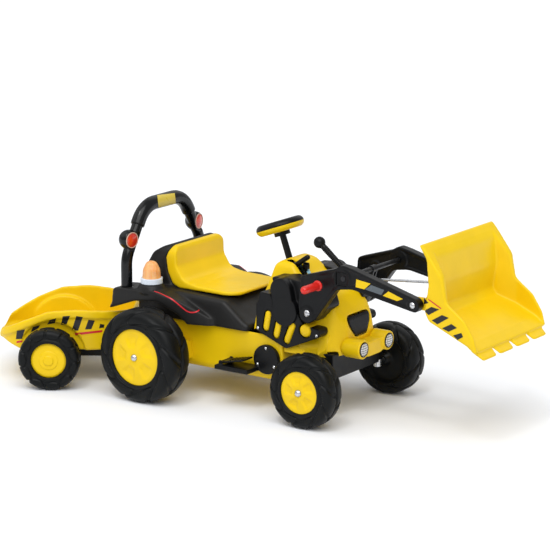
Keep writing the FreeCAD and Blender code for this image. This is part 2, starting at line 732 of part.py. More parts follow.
def hub(radius, width, open_centre):
    recess = width * HUB_RECESS_SHARE
    dome = recess * HUB_DOME_SHARE
    rim = recess * HUB_RIM_SHARE
    flat = radius * HUB_FLAT_SHARE
    boss = radius * HUB_BOSS_SHARE
    if open_centre:
        bore = AXLE_RADIUS + RUN_CLEARANCE
        disc = turned([
            (bore, dome, 0), (flat, dome, dome), (radius, rim, dome), (radius, recess, 0),
            (bore, recess, 0),
        ])
    else:
        disc = turned([
            (0, 0, 0), (boss, 0, dome), (boss, dome * 2, 0), (flat, dome * 2, dome), (radius, rim, dome),
            (radius, recess, 0), (0, recess, 0),
        ])
    pockets = []
    inner = radius * POCKET_INNER_SHARE
    outer = radius * POCKET_OUTER_SHARE
    sweep = math.radians(POCKET_SWEEP)
    for i in range(HUB_POCKETS):
        angle = math.radians(i * FULL_TURN / HUB_POCKETS)
        spots = ((inner, -sweep), (outer, -sweep), (outer, sweep), (inner, sweep))
        corners = []
        for reach, turn in spots:
            x = reach * math.cos(angle + turn)
            z = reach * math.sin(angle + turn)
            corners.append(vec(x, -CUT_OVERRUN, z))
        face = rounded_face(corners, [radius * POCKET_CORNER_SHARE] * len(corners))
        pockets.append(face.extrude(LEFT * (CUT_OVERRUN + recess * POCKET_DEPTH_SHARE)))
    return disc.cut(pockets)


def wheel_pair(radius, width, track, hub_radius, lugs, x, open_centre):
    """Tyre and hub for the right side and for the left side."""
    rubber = moved(tyre(radius, width, hub_radius, lugs), x, -track / 2, radius)
    disc = moved(hub(hub_radius, width, open_centre), x, -track / 2, radius)
    return rubber, disc, mirrored(rubber), mirrored(disc)


def axle_cap(x, y, z, tyre_width):
    """A bright domed nut that holds a wheel on from outside."""
    inside = y + tyre_width * HUB_RECESS_SHARE * HUB_DOME_SHARE - PART_CLEARANCE
    nut = domed(AXLE_CAP_RADIUS, AXLE_CAP_HEIGHT)
    return facing(nut, -LEFT, vec(x, inside, z)), inside


rear = wheel_pair(REAR_TYRE_RADIUS, REAR_TYRE_WIDTH, REAR_TRACK, REAR_HUB_RADIUS, REAR_LUGS, 0, True)
front = wheel_pair(
    FRONT_TYRE_RADIUS, FRONT_TYRE_WIDTH, FRONT_TRACK, FRONT_HUB_RADIUS, FRONT_LUGS, WHEELBASE, True
)
carried = wheel_pair(
    TRAILER_TYRE_RADIUS, TRAILER_TYRE_WIDTH, TRAILER_TRACK, TRAILER_HUB_RADIUS, TRAILER_LUGS,
    -TRAILER_AXLE_BACK, False
)

rear_cap, rear_axle_end = axle_cap(0, -REAR_TRACK / 2, rear_axle_z, REAR_TYRE_WIDTH)
rear_axle = Part.makeCompound([
    cross_rod(0, rear_axle_z, rear_axle_end, -rear_axle_end, AXLE_RADIUS), rear_cap, mirrored(rear_cap),
])

# Chassis: a deep open tub with a rounded belly
def tub_block(inset):
    edge = CHASSIS_EDGE_SHARE
    section = (
        (-1 / 2, 0, edge), (1 / 2, 0, edge), (1 / 2, 1, 0), (-1 / 2, 1, 0),
    )
    side = ((0, 0, edge), (1, 0, edge), (1, 1, 0), (0, 1, 0))
    width = CHASSIS_WIDTH - inset * 2
    length = chassis_length - inset * 2
    x = -CHASSIS_TAIL + inset
    z = GROUND_CLEARANCE + inset
    bar = front_slab(section, 0, z, width, CHASSIS_HEIGHT, x, x + length)
    return bar.common(side_slab(side, x, z, length, CHASSIS_HEIGHT, -width / 2, width / 2))


gear_reach = GEAR_MODULE * (GEAR_TEETH + PINION_TEETH) / 2 + GEAR_BACKLASH / 2
window = STEERING_WINDOW_WIDTH / 2
lower_chassis = tub_block(0).cut([
    tub_block(CHASSIS_WALL),
    cross_rod(0, rear_axle_z, -CHASSIS_WIDTH, CHASSIS_WIDTH, AXLE_RADIUS + SEAT_CLEARANCE),
    cross_rod(gear_reach, rear_axle_z, -CHASSIS_WIDTH, 0, MOTOR_BOSS_RADIUS),
    cross_rod(SOCKET_X, SOCKET_Z, 0, CHASSIS_WIDTH, SOCKET_BODY_RADIUS + SEAT_CLEARANCE),
    block(
        chassis_nose - CHASSIS_WALL - CUT_OVERRUN, chassis_nose + CUT_OVERRUN, -window, window,
        chassis_top - STEERING_WINDOW_HEIGHT, chassis_top + CUT_OVERRUN,
    ),
    block(
        chassis_nose - CHASSIS_WALL - CUT_OVERRUN, chassis_nose + CUT_OVERRUN,
        -BEAM_DECK_WIDTH / 2 - SEAT_CLEARANCE, BEAM_DECK_WIDTH / 2 + SEAT_CLEARANCE,
        BEAM_DECK_Z, chassis_top + CUT_OVERRUN,
    ),
])

# Hood: a side outline held inside a tapering plan and a round-shouldered crest
def hood_block(inset):
    tail = hood_tail - CUT_OVERRUN
    nose = hood_tail + HOOD_LENGTH + HOOD_NOSE_PROUD - inset
    low = chassis_top - HOOD_DROP
    high = low + HOOD_HEIGHT
    foot = low - HOOD_SKIRT - CUT_OVERRUN
    slope = (HOOD_WIDTH - HOOD_TOP_WIDTH) / HOOD_HEIGHT
    shoulder = nose - HOOD_TAPER_LENGTH
    cheek = nose - HOOD_CHEEK_LENGTH
    plans = []
    for z in (foot, high + CUT_OVERRUN):
        half = (HOOD_WIDTH - slope * (z - low)) / 2 - inset
        full = half * HOOD_CHEEK_SHARE
        blunt = half * HOOD_NOSE_SHARE
        spots = [(tail, half), (shoulder, half), (cheek, full), (nose, blunt)]
        spots += [(x, -y) for x, y in reversed(spots)]
        radii = [0, HOOD_SHOULDER_RADIUS, HOOD_CHEEK_RADIUS, HOOD_CORNER_RADIUS]
        corners = [vec(x, y, z) for x, y in spots]
        plans.append(Part.Wire(rounded_edges(corners, radii + radii[::-1], True)))
    taper = Part.makeLoft(plans, True, True)
    ribs = []
    for u, w, share in HOOD_CREST_SHARES:
        x = hood_tail + HOOD_LENGTH * u
        top = low + HOOD_HEIGHT * w - inset
        wide = (HOOD_WIDTH - slope * (foot - low)) / 2 * share - inset
        narrow = (HOOD_WIDTH - slope * (top - low)) / 2 * share - inset
        corners = [vec(x, -wide, foot), vec(x, wide, foot), vec(x, narrow, top), vec(x, -narrow, top)]
        radius = HOOD_CREST_RADIUS - inset
        ribs.append(Part.Wire(rounded_edges(corners, [0, 0, radius, radius], True)))
    crest = Part.makeLoft(ribs, True, True)
    half = HOOD_WIDTH
    corners = [
        vec(hood_tail + HOOD_LENGTH * u, -half, low + HOOD_HEIGHT * w) for u, w, r in HOOD_SIDE_SHARES
    ]
    face = rounded_face(corners, [HOOD_HEIGHT * r for u, w, r in HOOD_SIDE_SHARES])
    if inset > 0:
        face = face.makeOffset2D(-inset)
    return taper.common(face.extrude(LEFT * half * 2)).common(crest)


hood_outer = hood_block(0).Solids[0]
hood_low = chassis_top - HOOD_DROP
hood_inner = hood_block(HOOD_WALL)
hood_wall = hood_outer.cut(hood_inner)
hood_floor = block(
    hood_tail + HOOD_WALL, hood_tail + HOOD_LENGTH - HOOD_TAPER_LENGTH / 2,
    -chassis_side + CHASSIS_WALL * 2, chassis_side - CHASSIS_WALL * 2,
    hood_low - HOOD_SKIRT - CUT_OVERRUN, chassis_top + HOOD_WALL,
)

# Deck of the front axle beam, under the hood
deck_half = BEAM_DECK_WIDTH / 2
beam_deck = block(
    deck_tail, deck_nose, -deck_half, deck_half, BEAM_DECK_Z, BEAM_DECK_Z + BEAM_DECK_THICKNESS
)

# Engine panels: flat black plates whose backs follow the hood
panel_x = hood_tail + PANEL_AHEAD
panel_z = hood_low


def panel_spot(u, w):
    return vec(panel_x + PANEL_LENGTH * u, 0, panel_z + PANEL_HEIGHT * w)


def panel_openings(grow, y_face):
    """The slanted slots and the round window of one panel, right side."""
    shapes = []
    for u, w, u_end, w_end in PANEL_SLOT_SHARES:
        start = panel_spot(u, w)
        end = panel_spot(u_end, w_end)
        shapes.append(link(start, end, PANEL_SLOT_RADIUS + grow, -y_face, -tower_back))
    disc = panel_spot(PANEL_DISC_SHARES[0], PANEL_DISC_SHARES[1])
    shapes.append(cross_rod(disc.x, disc.z, -y_face, -tower_back, PANEL_DISC_RADIUS + grow))
    return shapes


def screw(x, y, z, direction):
    """A pan-head screw whose head rests on a face and whose shank goes in."""
    head = domed(SCREW_HEAD_RADIUS, SCREW_HEAD_HEIGHT)
    shank = Part.makeCylinder(SCREW_SHANK_RADIUS, SCREW_SHANK_LENGTH, ORIGIN, -UP)
    return facing(head.fuse(shank), direction, vec(x, y, z))


def screw_hole(x, y, z, direction):
    hole = Part.makeCylinder(
        SCREW_SHANK_RADIUS + SEAT_CLEARANCE, SCREW_SHANK_LENGTH + CUT_OVERRUN,
        UP * CUT_OVERRUN / 2, -UP,
    )
    return facing(hole, direction, vec(x, y, z))


panel_screws = [panel_spot(u, w) for u, w in PANEL_SCREW_SHARES]
panel_plate = side_slab(
    PANEL_SHARES, panel_x, panel_z, PANEL_LENGTH, PANEL_HEIGHT, -panel_face, -tower_back
)
inserts = panel_openings(0, panel_face + PANEL_INSERT_RISE)
panel = panel_plate.cut([hood_outer, tub_block(0), beam_deck])
panel = panel.cut(panel_openings(SEAT_CLEARANCE, panel_face + CUT_OVERRUN))
panel = panel.cut([screw_hole(p.x, -panel_face, p.z, -LEFT) for p in panel_screws])
engine_panels = both(panel)

# Loader towers: the arm pivots, standing on the flanks of the hood
arm_pivot = vec(arm_pivot_x, 0, ARM_PIVOT_Z)
tower_x = arm_pivot_x - TOWER_BEHIND
tower_z = ARM_PIVOT_Z - TOWER_BELOW
boss_x = tower_x + TOWER_LENGTH * TOWER_BOSS_SHARES[0]
boss_z = tower_z + TOWER_HEIGHT * TOWER_BOSS_SHARES[1]
tower_ridge = vec(
    tower_x + TOWER_LENGTH * TOWER_RIDGE_SHARES[0], 0, tower_z + TOWER_HEIGHT * TOWER_RIDGE_SHARES[1]
)
tower = side_slab(
    TOWER_SHARES, tower_x, tower_z, TOWER_LENGTH, TOWER_HEIGHT, -tower_face, -tower_back
).fuse([
    cross_rod(boss_x, boss_z, -boss_face, -tower_back, TOWER_BOSS_RADIUS),
    link(vec(boss_x, 0, boss_z), tower_ridge, TOWER_RIDGE_RADIUS, -boss_face, -tower_back),
])
tower = tower.cut([hood_outer, panel_plate]).cut(
    cross_rod(arm_pivot_x, ARM_PIVOT_Z, -CHASSIS_WIDTH, 0, ARM_BOLT_RADIUS + RUN_CLEARANCE)
)
tower = biggest(tower.cut(inserts))
loader_towers = both(tower)

# Grille: a black skin let into the nose, cut out of the hood
nose_x = hood_tail + HOOD_LENGTH
grille_block = front_slab(
    GRILLE_SHARES, 0, GRILLE_TOP_Z - GRILLE_HEIGHT, GRILLE_WIDTH, GRILLE_HEIGHT,
    nose_x - GRILLE_REACH, nose_x + CUT_OVERRUN,
)
front_grille = biggest(hood_wall.common(grille_block))

# Front axle beam: a deck under the hood and a cross member with the kingpin eyes
eye_top = TIE_ROD_Z - PART_CLEARANCE * 2 - STEERING_ARM_THICKNESS
beam = beam_deck.fuse(block(
    WHEELBASE - BEAM_DEPTH / 2, WHEELBASE + BEAM_DEPTH / 2, -BEAM_WIDTH / 2 + KINGPIN_EYE_RADIUS,
    BEAM_WIDTH / 2 - KINGPIN_EYE_RADIUS, BEAM_BOTTOM_Z, BEAM_DECK_Z,
))
for side in (-1, 1):
    beam = beam.fuse([
        post(WHEELBASE, side * KINGPIN_Y, BEAM_BOTTOM_Z, eye_top, KINGPIN_EYE_RADIUS),
        block(
            WHEELBASE - KINGPIN_EYE_RADIUS, WHEELBASE + KINGPIN_EYE_RADIUS,
            min(0, side * KINGPIN_Y), max(0, side * KINGPIN_Y), BEAM_BOTTOM_Z, eye_top,
        ),
    ])
beam = beam.cut([
    post(WHEELBASE, side * KINGPIN_Y, 0, BEAM_DECK_Z, KINGPIN_RADIUS + RUN_CLEARANCE) for side in (-1, 1)
])

# Steering column: axis, crank and the point where its pin meets the tie rod
tilt = math.radians(STEERING_TILT)
column_up = vec(-math.sin(tilt), 0, math.cos(tilt))
column_back = vec(-math.cos(tilt), 0, -math.sin(tilt))
wheel_centre = vec(steering_wheel_x, 0, STEERING_WHEEL_Z)
crank_centre = wheel_centre - column_up * ((STEERING_WHEEL_Z - CRANK_Z) / math.cos(tilt))
crank_pin = crank_centre + column_back * STEERING_ARM
shaft_top = wheel_centre - column_up * (STEERING_HUB_HEIGHT - STEERING_HUB_TOP - STEERING_SOCKET)


def about_column(shape):
    """Moves a shape built about Z at the origin onto the column at the wheel centre."""
    copy = shape.copy()
    spin = FreeCAD.Rotation(LEFT, -STEERING_TILT)
    copy.Placement = FreeCAD.Placement(wheel_centre, spin).multiply(copy.Placement)
    return copy


half_crank = column_up * (CRANK_THICKNESS / 2)
crank_bar = block(-STEERING_ARM, 0, -CRANK_EYE_RADIUS, CRANK_EYE_RADIUS, 0, CRANK_THICKNESS)
crank_bar.Placement = FreeCAD.Placement(
    crank_centre - half_crank, FreeCAD.Rotation(LEFT, -STEERING_TILT)
).multiply(crank_bar.Placement)
steering_shaft = rod(crank_centre - half_crank, shaft_top, STEERING_SHAFT_RADIUS).fuse([
    crank_bar,
    rod(crank_centre - half_crank, crank_centre + half_crank, CRANK_EYE_RADIUS),
    rod(crank_pin - half_crank, crank_pin + half_crank, CRANK_EYE_RADIUS),
    rod(crank_pin - column_up * CRANK_PIN_LENGTH, crank_pin, STEERING_PIN_RADIUS),
]).removeSplitter()
shaft_bore = rod(
    crank_centre - half_crank, wheel_centre, STEERING_SHAFT_RADIUS + RUN_CLEARANCE
)
front_axle_beam = beam.cut(shaft_bore).removeSplitter()

# Knuckles: kingpin, stub axle, steering arm and its pin in one steel piece
front_cap, front_end = axle_cap(WHEELBASE, -FRONT_TRACK / 2, front_axle_z, FRONT_TYRE_WIDTH)
arm_z = eye_top + PART_CLEARANCE
arm_tip_x = WHEELBASE - STEERING_ARM
block_top = BEAM_BOTTOM_Z - PART_CLEARANCE
knuckle = post(WHEELBASE, -KINGPIN_Y, front_axle_z - STUB_BLOCK_RADIUS, block_top, STUB_BLOCK_RADIUS).fuse([
    post(WHEELBASE, -KINGPIN_Y, block_top, arm_z, KINGPIN_RADIUS),
    cross_rod(WHEELBASE, front_axle_z, front_end, -KINGPIN_Y, AXLE_RADIUS),
    post(WHEELBASE, -KINGPIN_Y, arm_z, arm_z + STEERING_ARM_THICKNESS, STEERING_PIN_RADIUS * 2),
    block(
        arm_tip_x, WHEELBASE, -KINGPIN_Y - STEERING_PIN_RADIUS * 2, -KINGPIN_Y + STEERING_PIN_RADIUS * 2,
        arm_z, arm_z + STEERING_ARM_THICKNESS,
    ),
    post(arm_tip_x, -KINGPIN_Y, arm_z, arm_z + STEERING_ARM_THICKNESS, STEERING_PIN_RADIUS * 2),
    post(
        arm_tip_x, -KINGPIN_Y, arm_z, TIE_ROD_Z + TIE_ROD_THICKNESS + PART_CLEARANCE, STEERING_PIN_RADIUS
    ),
]).removeSplitter()
right_knuckle = Part.makeCompound([knuckle, front_cap])
left_knuckle = mirrored(right_knuckle)

# Tie rod with a tongue back to the crank pin
tie_top = TIE_ROD_Z + TIE_ROD_THICKNESS
tie_half = TIE_ROD_WIDTH / 2
pin_drop = (crank_pin.z - TIE_ROD_Z) / math.cos(tilt)
tongue_hole = crank_pin - column_up * pin_drop
tie_rod = block(
    arm_tip_x - tie_half, arm_tip_x + tie_half, -KINGPIN_Y, KINGPIN_Y, TIE_ROD_Z, tie_top
).fuse([
    block(tongue_hole.x, arm_tip_x, -tie_half, tie_half, TIE_ROD_Z, tie_top),
    post(tongue_hole.x, 0, TIE_ROD_Z, tie_top, tie_half),
    post(arm_tip_x, -KINGPIN_Y, TIE_ROD_Z, tie_top, tie_half),
    post(arm_tip_x, KINGPIN_Y, TIE_ROD_Z, tie_top, tie_half),
]).cut([
    post(arm_tip_x, -KINGPIN_Y, 0, chassis_top, STEERING_PIN_RADIUS + RUN_CLEARANCE),
    post(arm_tip_x, KINGPIN_Y, 0, chassis_top, STEERING_PIN_RADIUS + STEERING_PIN_SLACK),
    rod(
        crank_pin - column_up * CRANK_PIN_LENGTH * 2, crank_pin + column_up * CUT_OVERRUN,
        STEERING_PIN_RADIUS + STEERING_PIN_SLACK,
    ),
]).removeSplitter()

# Steering wheel: a rim in two halves, spokes, hub and horn button
rim_tube = STEERING_RIM_THICKNESS / 2
ring = Part.makeTorus(STEERING_RIM_RADIUS, rim_tube)
span = STEERING_RIM_RADIUS * 2
rim_upper = ring.common(block(-span, span, -span, span, 0, span))
rim_lower = ring.common(block(-span, span, -span, span, -span, 0))
hub_bottom = STEERING_HUB_TOP - STEERING_HUB_HEIGHT
spokes = Part.makeCylinder(STEERING_HUB_RADIUS, STEERING_HUB_HEIGHT, vec(0, 0, hub_bottom))
for angle in STEERING_SPOKE_ANGLES:
    bar = block(
        0, STEERING_RIM_RADIUS, -STEERING_SPOKE_WIDTH / 2, STEERING_SPOKE_WIDTH / 2,
        -STEERING_SPOKE_THICKNESS, 0,
    )
    bar.rotate(ORIGIN, UP, angle)
    spokes = spokes.fuse(bar)
horn_floor = STEERING_HUB_TOP - HORN_HEIGHT + HORN_TRAVEL
spokes = spokes.cut([
    ring,
    Part.makeCylinder(
        STEERING_SHAFT_RADIUS, STEERING_SOCKET + CUT_OVERRUN, vec(0, 0, hub_bottom - CUT_OVERRUN)
    ),
    Part.makeCylinder(
        HORN_RADIUS + PART_CLEARANCE, HORN_HEIGHT * 2, vec(0, 0, horn_floor - HORN_TRAVEL * 2)
    ),
])
horn = Part.makeCylinder(HORN_RADIUS, HORN_HEIGHT, vec(0, 0, horn_floor))
steering_rim_upper = about_column(rim_upper)
steering_rim_lower = about_column(rim_lower)
steering_hub = about_column(spokes.removeSplitter())
horn_button = about_column(horn)
sleeve_foot = wheel_centre - column_up * COLUMN_SLEEVE_LENGTH
sleeve_head = wheel_centre + column_up * hub_bottom
column_sleeve = rod(sleeve_foot, sleeve_head, COLUMN_SLEEVE_RADIUS).cut(
    rod(sleeve_foot - column_up * CUT_OVERRUN, wheel_centre, STEERING_SHAFT_RADIUS + RUN_CLEARANCE)
)
sleeve_bore = rod(
    sleeve_foot - column_up * CUT_OVERRUN, wheel_centre, COLUMN_SLEEVE_RADIUS + PART_CLEARANCE
)

# Rear shell: saddle, fenders, seat back and the beacon plinth in one moulding
saddle = side_slab(
    SADDLE_SIDE_SHARES, -SADDLE_TAIL, chassis_top, saddle_length, SADDLE_HEIGHT,
    -SADDLE_WIDTH / 2, SADDLE_WIDTH / 2,
)
saddle = rounded(
    saddle, SADDLE_EDGE,
    lambda p: abs(p.y) > SADDLE_WIDTH / 2 - SEAT_CLEARANCE and p.z > chassis_top + SADDLE_EDGE,
)
fender_plan = plan_slab(
    [(u, -w, r) for u, w, r in FENDER_PLAN_SHARES], -FENDER_TAIL, -FENDER_INNER + CUT_OVERRUN,
    FENDER_LENGTH, FENDER_OUTER - FENDER_INNER + CUT_OVERRUN, 0, chassis_top * 2,
)
fender_corners = [
    vec(-FENDER_TAIL + FENDER_LENGTH * u, -FENDER_OUTER, chassis_top + FENDER_HEIGHT * w)
    for u, w, r in FENDER_SIDE_SHARES
]
fender_side = rounded_face(fender_corners, [FENDER_HEIGHT * r for u, w, r in FENDER_SIDE_SHARES])
fender = fender_side.extrude(LEFT * (FENDER_OUTER - FENDER_INNER)).common(fender_plan)
fender_hollow = fender_side.makeOffset2D(-SHELL_WALL).extrude(
    LEFT * (FENDER_OUTER - FENDER_INNER + SHELL_WALL)
).common(moved(fender_plan, -SHELL_WALL, SHELL_WALL, 0))
seat_back_z = chassis_top + SADDLE_HEIGHT - SEAT_SINK
seat_back = side_slab(
    SEAT_BACK_SHARES, -SEAT_BACK_TAIL, seat_back_z, SEAT_BACK_LENGTH, SEAT_BACK_HEIGHT,
    -SEAT_BACK_WIDTH / 2, SEAT_BACK_WIDTH / 2,
)
seat_back = rounded(
    seat_back, SEAT_BACK_EDGE,
    lambda p: abs(p.y) > SEAT_BACK_WIDTH / 2 - SEAT_CLEARANCE and p.x < -SEAT_BACK_TAIL / 2
    and p.z > seat_back_z + SEAT_BACK_EDGE,
)
seat_top = seat_back_z + SEAT_BACK_HEIGHT


def back_frame(width, corner):
    """A wide block with two round top corners, which trims the seat back and the seat."""
    half = width / 2
    spots = ((-half, chassis_top), (half, chassis_top), (half, seat_top), (-half, seat_top))
    corners = [vec(-SADDLE_TAIL * 2, y, z) for y, z in spots]
    return rounded_face(corners, [0, 0, corner, corner]).extrude(ALONG * (SADDLE_TAIL * 2 + WHEELBASE))


seat_back = seat_back.common(back_frame(SEAT_BACK_WIDTH + SEAT_CLEARANCE, SEAT_BACK_CORNER))
seat_back_corners = [
    vec(
        -SEAT_BACK_TAIL + SEAT_BACK_LENGTH * u, -SEAT_BACK_WIDTH / 2 + SEAT_BACK_CORNER,
        seat_back_z + SEAT_BACK_HEIGHT * w,
    ) for u, w, r in SEAT_BACK_SHARES
]
seat_back_face = rounded_face(seat_back_corners, [SEAT_BACK_HEIGHT * r for u, w, r in SEAT_BACK_SHARES])
seat_back_hollow = seat_back_face.makeOffset2D(-SEAT_BACK_EDGE).extrude(
    LEFT * (SEAT_BACK_WIDTH - SEAT_BACK_CORNER * 2)
).fuse(block(
    -SEAT_BACK_TAIL + SEAT_BACK_EDGE * 2, -SEAT_BACK_TAIL + SHELL_DUCT, -SEAT_BACK_WIDTH / 2 + SHELL_DUCT,
    SEAT_BACK_WIDTH / 2 - SHELL_DUCT, chassis_top, seat_back_z + SHELL_DUCT,
))
plinth_z = chassis_top + FENDER_HEIGHT - SHELL_WALL * 2
plinth = Part.makeCone(
    BEACON_FOOT_RADIUS, BEACON_PLINTH_RADIUS, BEACON_PLINTH_HEIGHT, vec(BEACON_X, BEACON_Y, plinth_z)
)
roll_foot = vec(ROLL_BAR_X, -ROLL_BAR_FOOT_Y, ROLL_BAR_FOOT_Z)
shell_hollow = block(
    -SADDLE_TAIL + SHELL_WALL, hood_tail - SHELL_BAY_SHORT, -chassis_side + SHELL_WALL,
    chassis_side - SHELL_WALL, chassis_top - CUT_OVERRUN, chassis_top + SADDLE_HEIGHT - SADDLE_EDGE,
)
leg_sockets = [
    post(
        ROLL_BAR_X, side * ROLL_BAR_FOOT_Y, ROLL_BAR_FOOT_Z, chassis_top * 2,
        ROLL_BAR_RADIUS + SEAT_CLEARANCE,
    ) for side in (-1, 1)
]

# Seat pan: one bent yellow panel in front of the seat back
seat_pan = side_slab(
    SEAT_PAN_SHARES, -SEAT_PAN_TAIL, seat_back_z, SEAT_PAN_LENGTH, SEAT_BACK_HEIGHT,
    -SEAT_PAN_WIDTH / 2, SEAT_PAN_WIDTH / 2,
).common(back_frame(SEAT_PAN_WIDTH + SEAT_CLEARANCE, SEAT_PAN_CORNER))
seat_nose = SEAT_PAN_LENGTH - SEAT_PAN_TAIL
seat_half = SEAT_PAN_WIDTH / 2 + SEAT_CLEARANCE
seat_spots = (
    (-SADDLE_TAIL, -seat_half), (seat_nose, -seat_half), (seat_nose, seat_half), (-SADDLE_TAIL, seat_half),
)
seat_corners = [vec(x, y, chassis_top) for x, y in seat_spots]
seat_plan = rounded_face(seat_corners, [0, SEAT_NOSE_CORNER, SEAT_NOSE_CORNER, 0])
seat_pan = seat_pan.common(seat_plan.extrude(UP * SEAT_BACK_HEIGHT * 2))
rear_shell = saddle.fuse([fender, mirrored(fender), seat_back, plinth]).cut(
    [shell_hollow, fender_hollow, mirrored(fender_hollow), seat_back_hollow, seat_pan] + leg_sockets
)
rear_shell = biggest(rear_shell)

# Roll bar: two legs and a sleeve over the top, on one path
bend = vec(ROLL_BAR_X, -ROLL_BAR_FOOT_Y, ROLL_BAR_BEND_Z)
corner = vec(ROLL_BAR_X, -ROLL_BAR_TOP_Y, ROLL_BAR_TOP_Z)
far_corner = vec(ROLL_BAR_X, ROLL_BAR_TOP_Y, ROLL_BAR_TOP_Z)
far_bend = vec(ROLL_BAR_X, ROLL_BAR_FOOT_Y, ROLL_BAR_BEND_Z)
sleeve_start = bend + (corner - bend) * SLEEVE_START_SHARE
sleeve_end = far_bend + (far_corner - far_bend) * SLEEVE_START_SHARE
leg_end = bend + (corner - bend) * LEG_END_SHARE
over_top = [sleeve_start, corner, far_corner, sleeve_end]
top_radii = [0, ROLL_BAR_CORNER_RADIUS, ROLL_BAR_CORNER_RADIUS, 0]
leg = pipe([roll_foot, bend, leg_end], [0, ROLL_BAR_BEND_RADIUS, 0], ROLL_BAR_RADIUS)
lead = (sleeve_start - corner).normalize() * CUT_OVERRUN
trail = (sleeve_end - far_corner).normalize() * CUT_OVERRUN
bore_path = [sleeve_start + lead, corner, far_corner, sleeve_end + trail]
roll_bar_top = pipe(over_top, top_radii, ROLL_BAR_SLEEVE_RADIUS).cut(
    pipe(bore_path, top_radii, ROLL_BAR_RADIUS + SEAT_CLEARANCE)
)
lamp_turn = math.radians(LAMP_TURN)
lamp_ahead = vec(math.cos(lamp_turn), -math.sin(lamp_turn), 0)
lamp_at = bend + (corner - bend) * LAMP_RISE_SHARE - vec(LAMP_BACK, LAMP_OUT, 0)
lamp_face = lamp_at + lamp_ahead * LAMP_FACE
lamp_floor = lamp_face - lamp_ahead * LAMP_LENS_DEPTH
lamp_front = rod(lamp_face, lamp_face + lamp_ahead * LAMP_RADIUS, LAMP_RADIUS)
lamp_pocket = rod(lamp_floor, lamp_face + lamp_ahead * CUT_OVERRUN, LAMP_LENS_RADIUS + SEAT_CLEARANCE)
lamp_body = Part.makeSphere(LAMP_RADIUS, lamp_at).cut(lamp_front)
roll_bar_legs = both(leg.cut(lamp_front).fuse(lamp_body).cut(lamp_pocket))
lens = Part.makeCylinder(LAMP_LENS_RADIUS, LAMP_LENS_DEPTH)
lens = lens.fuse(moved(domed(LAMP_LENS_RADIUS, LAMP_LENS_DOME), 0, 0, LAMP_LENS_DEPTH))
lamp_lenses = both(facing(lens, lamp_ahead, lamp_floor))

# Beacon on the right fender
beacon_z = plinth_z + BEACON_PLINTH_HEIGHT
beacon_base = post(BEACON_X, BEACON_Y, beacon_z, beacon_z + BEACON_RING_HEIGHT, BEACON_RING_RADIUS)
dome_corners = [vec(BEACON_DOME_RADIUS * u, 0, BEACON_DOME_HEIGHT * w) for u, w, r in BEACON_DOME_SHARES]
dome = rounded_face(dome_corners, [BEACON_DOME_HEIGHT * r for u, w, r in BEACON_DOME_SHARES])
beacon_dome = moved(dome.revolve(ORIGIN, UP, FULL_TURN), BEACON_X, BEACON_Y, beacon_z + BEACON_RING_HEIGHT)

# Bumper with two headlight pods
pods = []
for side in (-1, 1):
    y = side * HEADLIGHT_Y
    back = vec(headlight_front - HEADLIGHT_POD_LENGTH, y, HEADLIGHT_Z)
    pods.append(rod(back, vec(headlight_front, y, HEADLIGHT_Z), HEADLIGHT_POD_RADIUS))
    pods.append(Part.makeSphere(HEADLIGHT_POD_RADIUS, back))
headlight_floor = headlight_front - HEADLIGHT_LENS_DEPTH
front_bumper = front_slab(
    BUMPER_SHARES, 0, BUMPER_Z, BUMPER_WIDTH, BUMPER_HEIGHT, bumper_front - BUMPER_DEPTH, bumper_front
).fuse(pods).cut([hood_outer, front_axle_beam] + [
    rod(
        vec(headlight_floor, side * HEADLIGHT_Y, HEADLIGHT_Z),
        vec(headlight_front + CUT_OVERRUN, side * HEADLIGHT_Y, HEADLIGHT_Z),
        HEADLIGHT_LENS_RADIUS + SEAT_CLEARANCE,
    ) for side in (-1, 1)
])
front_bumper = biggest(front_bumper)
lamp = Part.makeCylinder(HEADLIGHT_LENS_RADIUS, HEADLIGHT_LENS_DEPTH)
lamp = lamp.fuse(moved(domed(HEADLIGHT_LENS_RADIUS, HEADLIGHT_LENS_DOME), 0, 0, HEADLIGHT_LENS_DEPTH))
headlight_lenses = both(facing(lamp, ALONG, vec(headlight_floor, -HEADLIGHT_Y, HEADLIGHT_Z)))

# Loader arms: closed hollow mouldings with a raised rim and bosses at the pivots
elbow = arm_pivot + vec(ELBOW_SHARES[0], 0, ELBOW_SHARES[1]) * ARM_REACH
bucket_pin = arm_pivot + vec(BUCKET_PIN_SHARES[0], 0, BUCKET_PIN_SHARES[1]) * ARM_REACH
handle_at = arm_pivot + vec(HANDLE_SHARES[0], 0, HANDLE_SHARES[1]) * ARM_REACH
arm_face = arm_inner + ARM_THICKNESS
arm_corners = [vec(ARM_REACH * u, 0, ARM_REACH * w) + arm_pivot for u, w, r in ARM_SHARES]
arm_outline = rounded_face(arm_corners, [ARM_REACH * r for u, w, r in ARM_SHARES])
arm_pocket = arm_outline.makeOffset2D(-ARM_SKIN)
arm_panel = arm_outline.makeOffset2D(-ARM_RIM)
arm_room = ARM_THICKNESS - ARM_SKIN * 2
arm = moved(arm_outline, 0, -arm_face, 0).extrude(LEFT * ARM_THICKNESS)
arm = arm.cut([
    moved(arm_panel, 0, -arm_face - CUT_OVERRUN, 0).extrude(LEFT * (CUT_OVERRUN + ARM_RELIEF)),
    moved(arm_panel, 0, -arm_inner - ARM_RELIEF, 0).extrude(LEFT * (CUT_OVERRUN + ARM_RELIEF)),
    moved(arm_pocket, 0, -arm_face + ARM_SKIN, 0).extrude(LEFT * arm_room),
])
arm_bosses = (
    (arm_pivot, ARM_PIVOT_BOSS_RADIUS), (elbow, ELBOW_BOSS_RADIUS), (bucket_pin, BUCKET_BOSS_RADIUS),
    (handle_at, HANDLE_COLLAR_RADIUS),
)
arm = arm.fuse([cross_rod(p.x, p.z, -arm_face, -arm_inner, radius) for p, radius in arm_bosses])
recess = ARM_RECESS_SIZE / 2
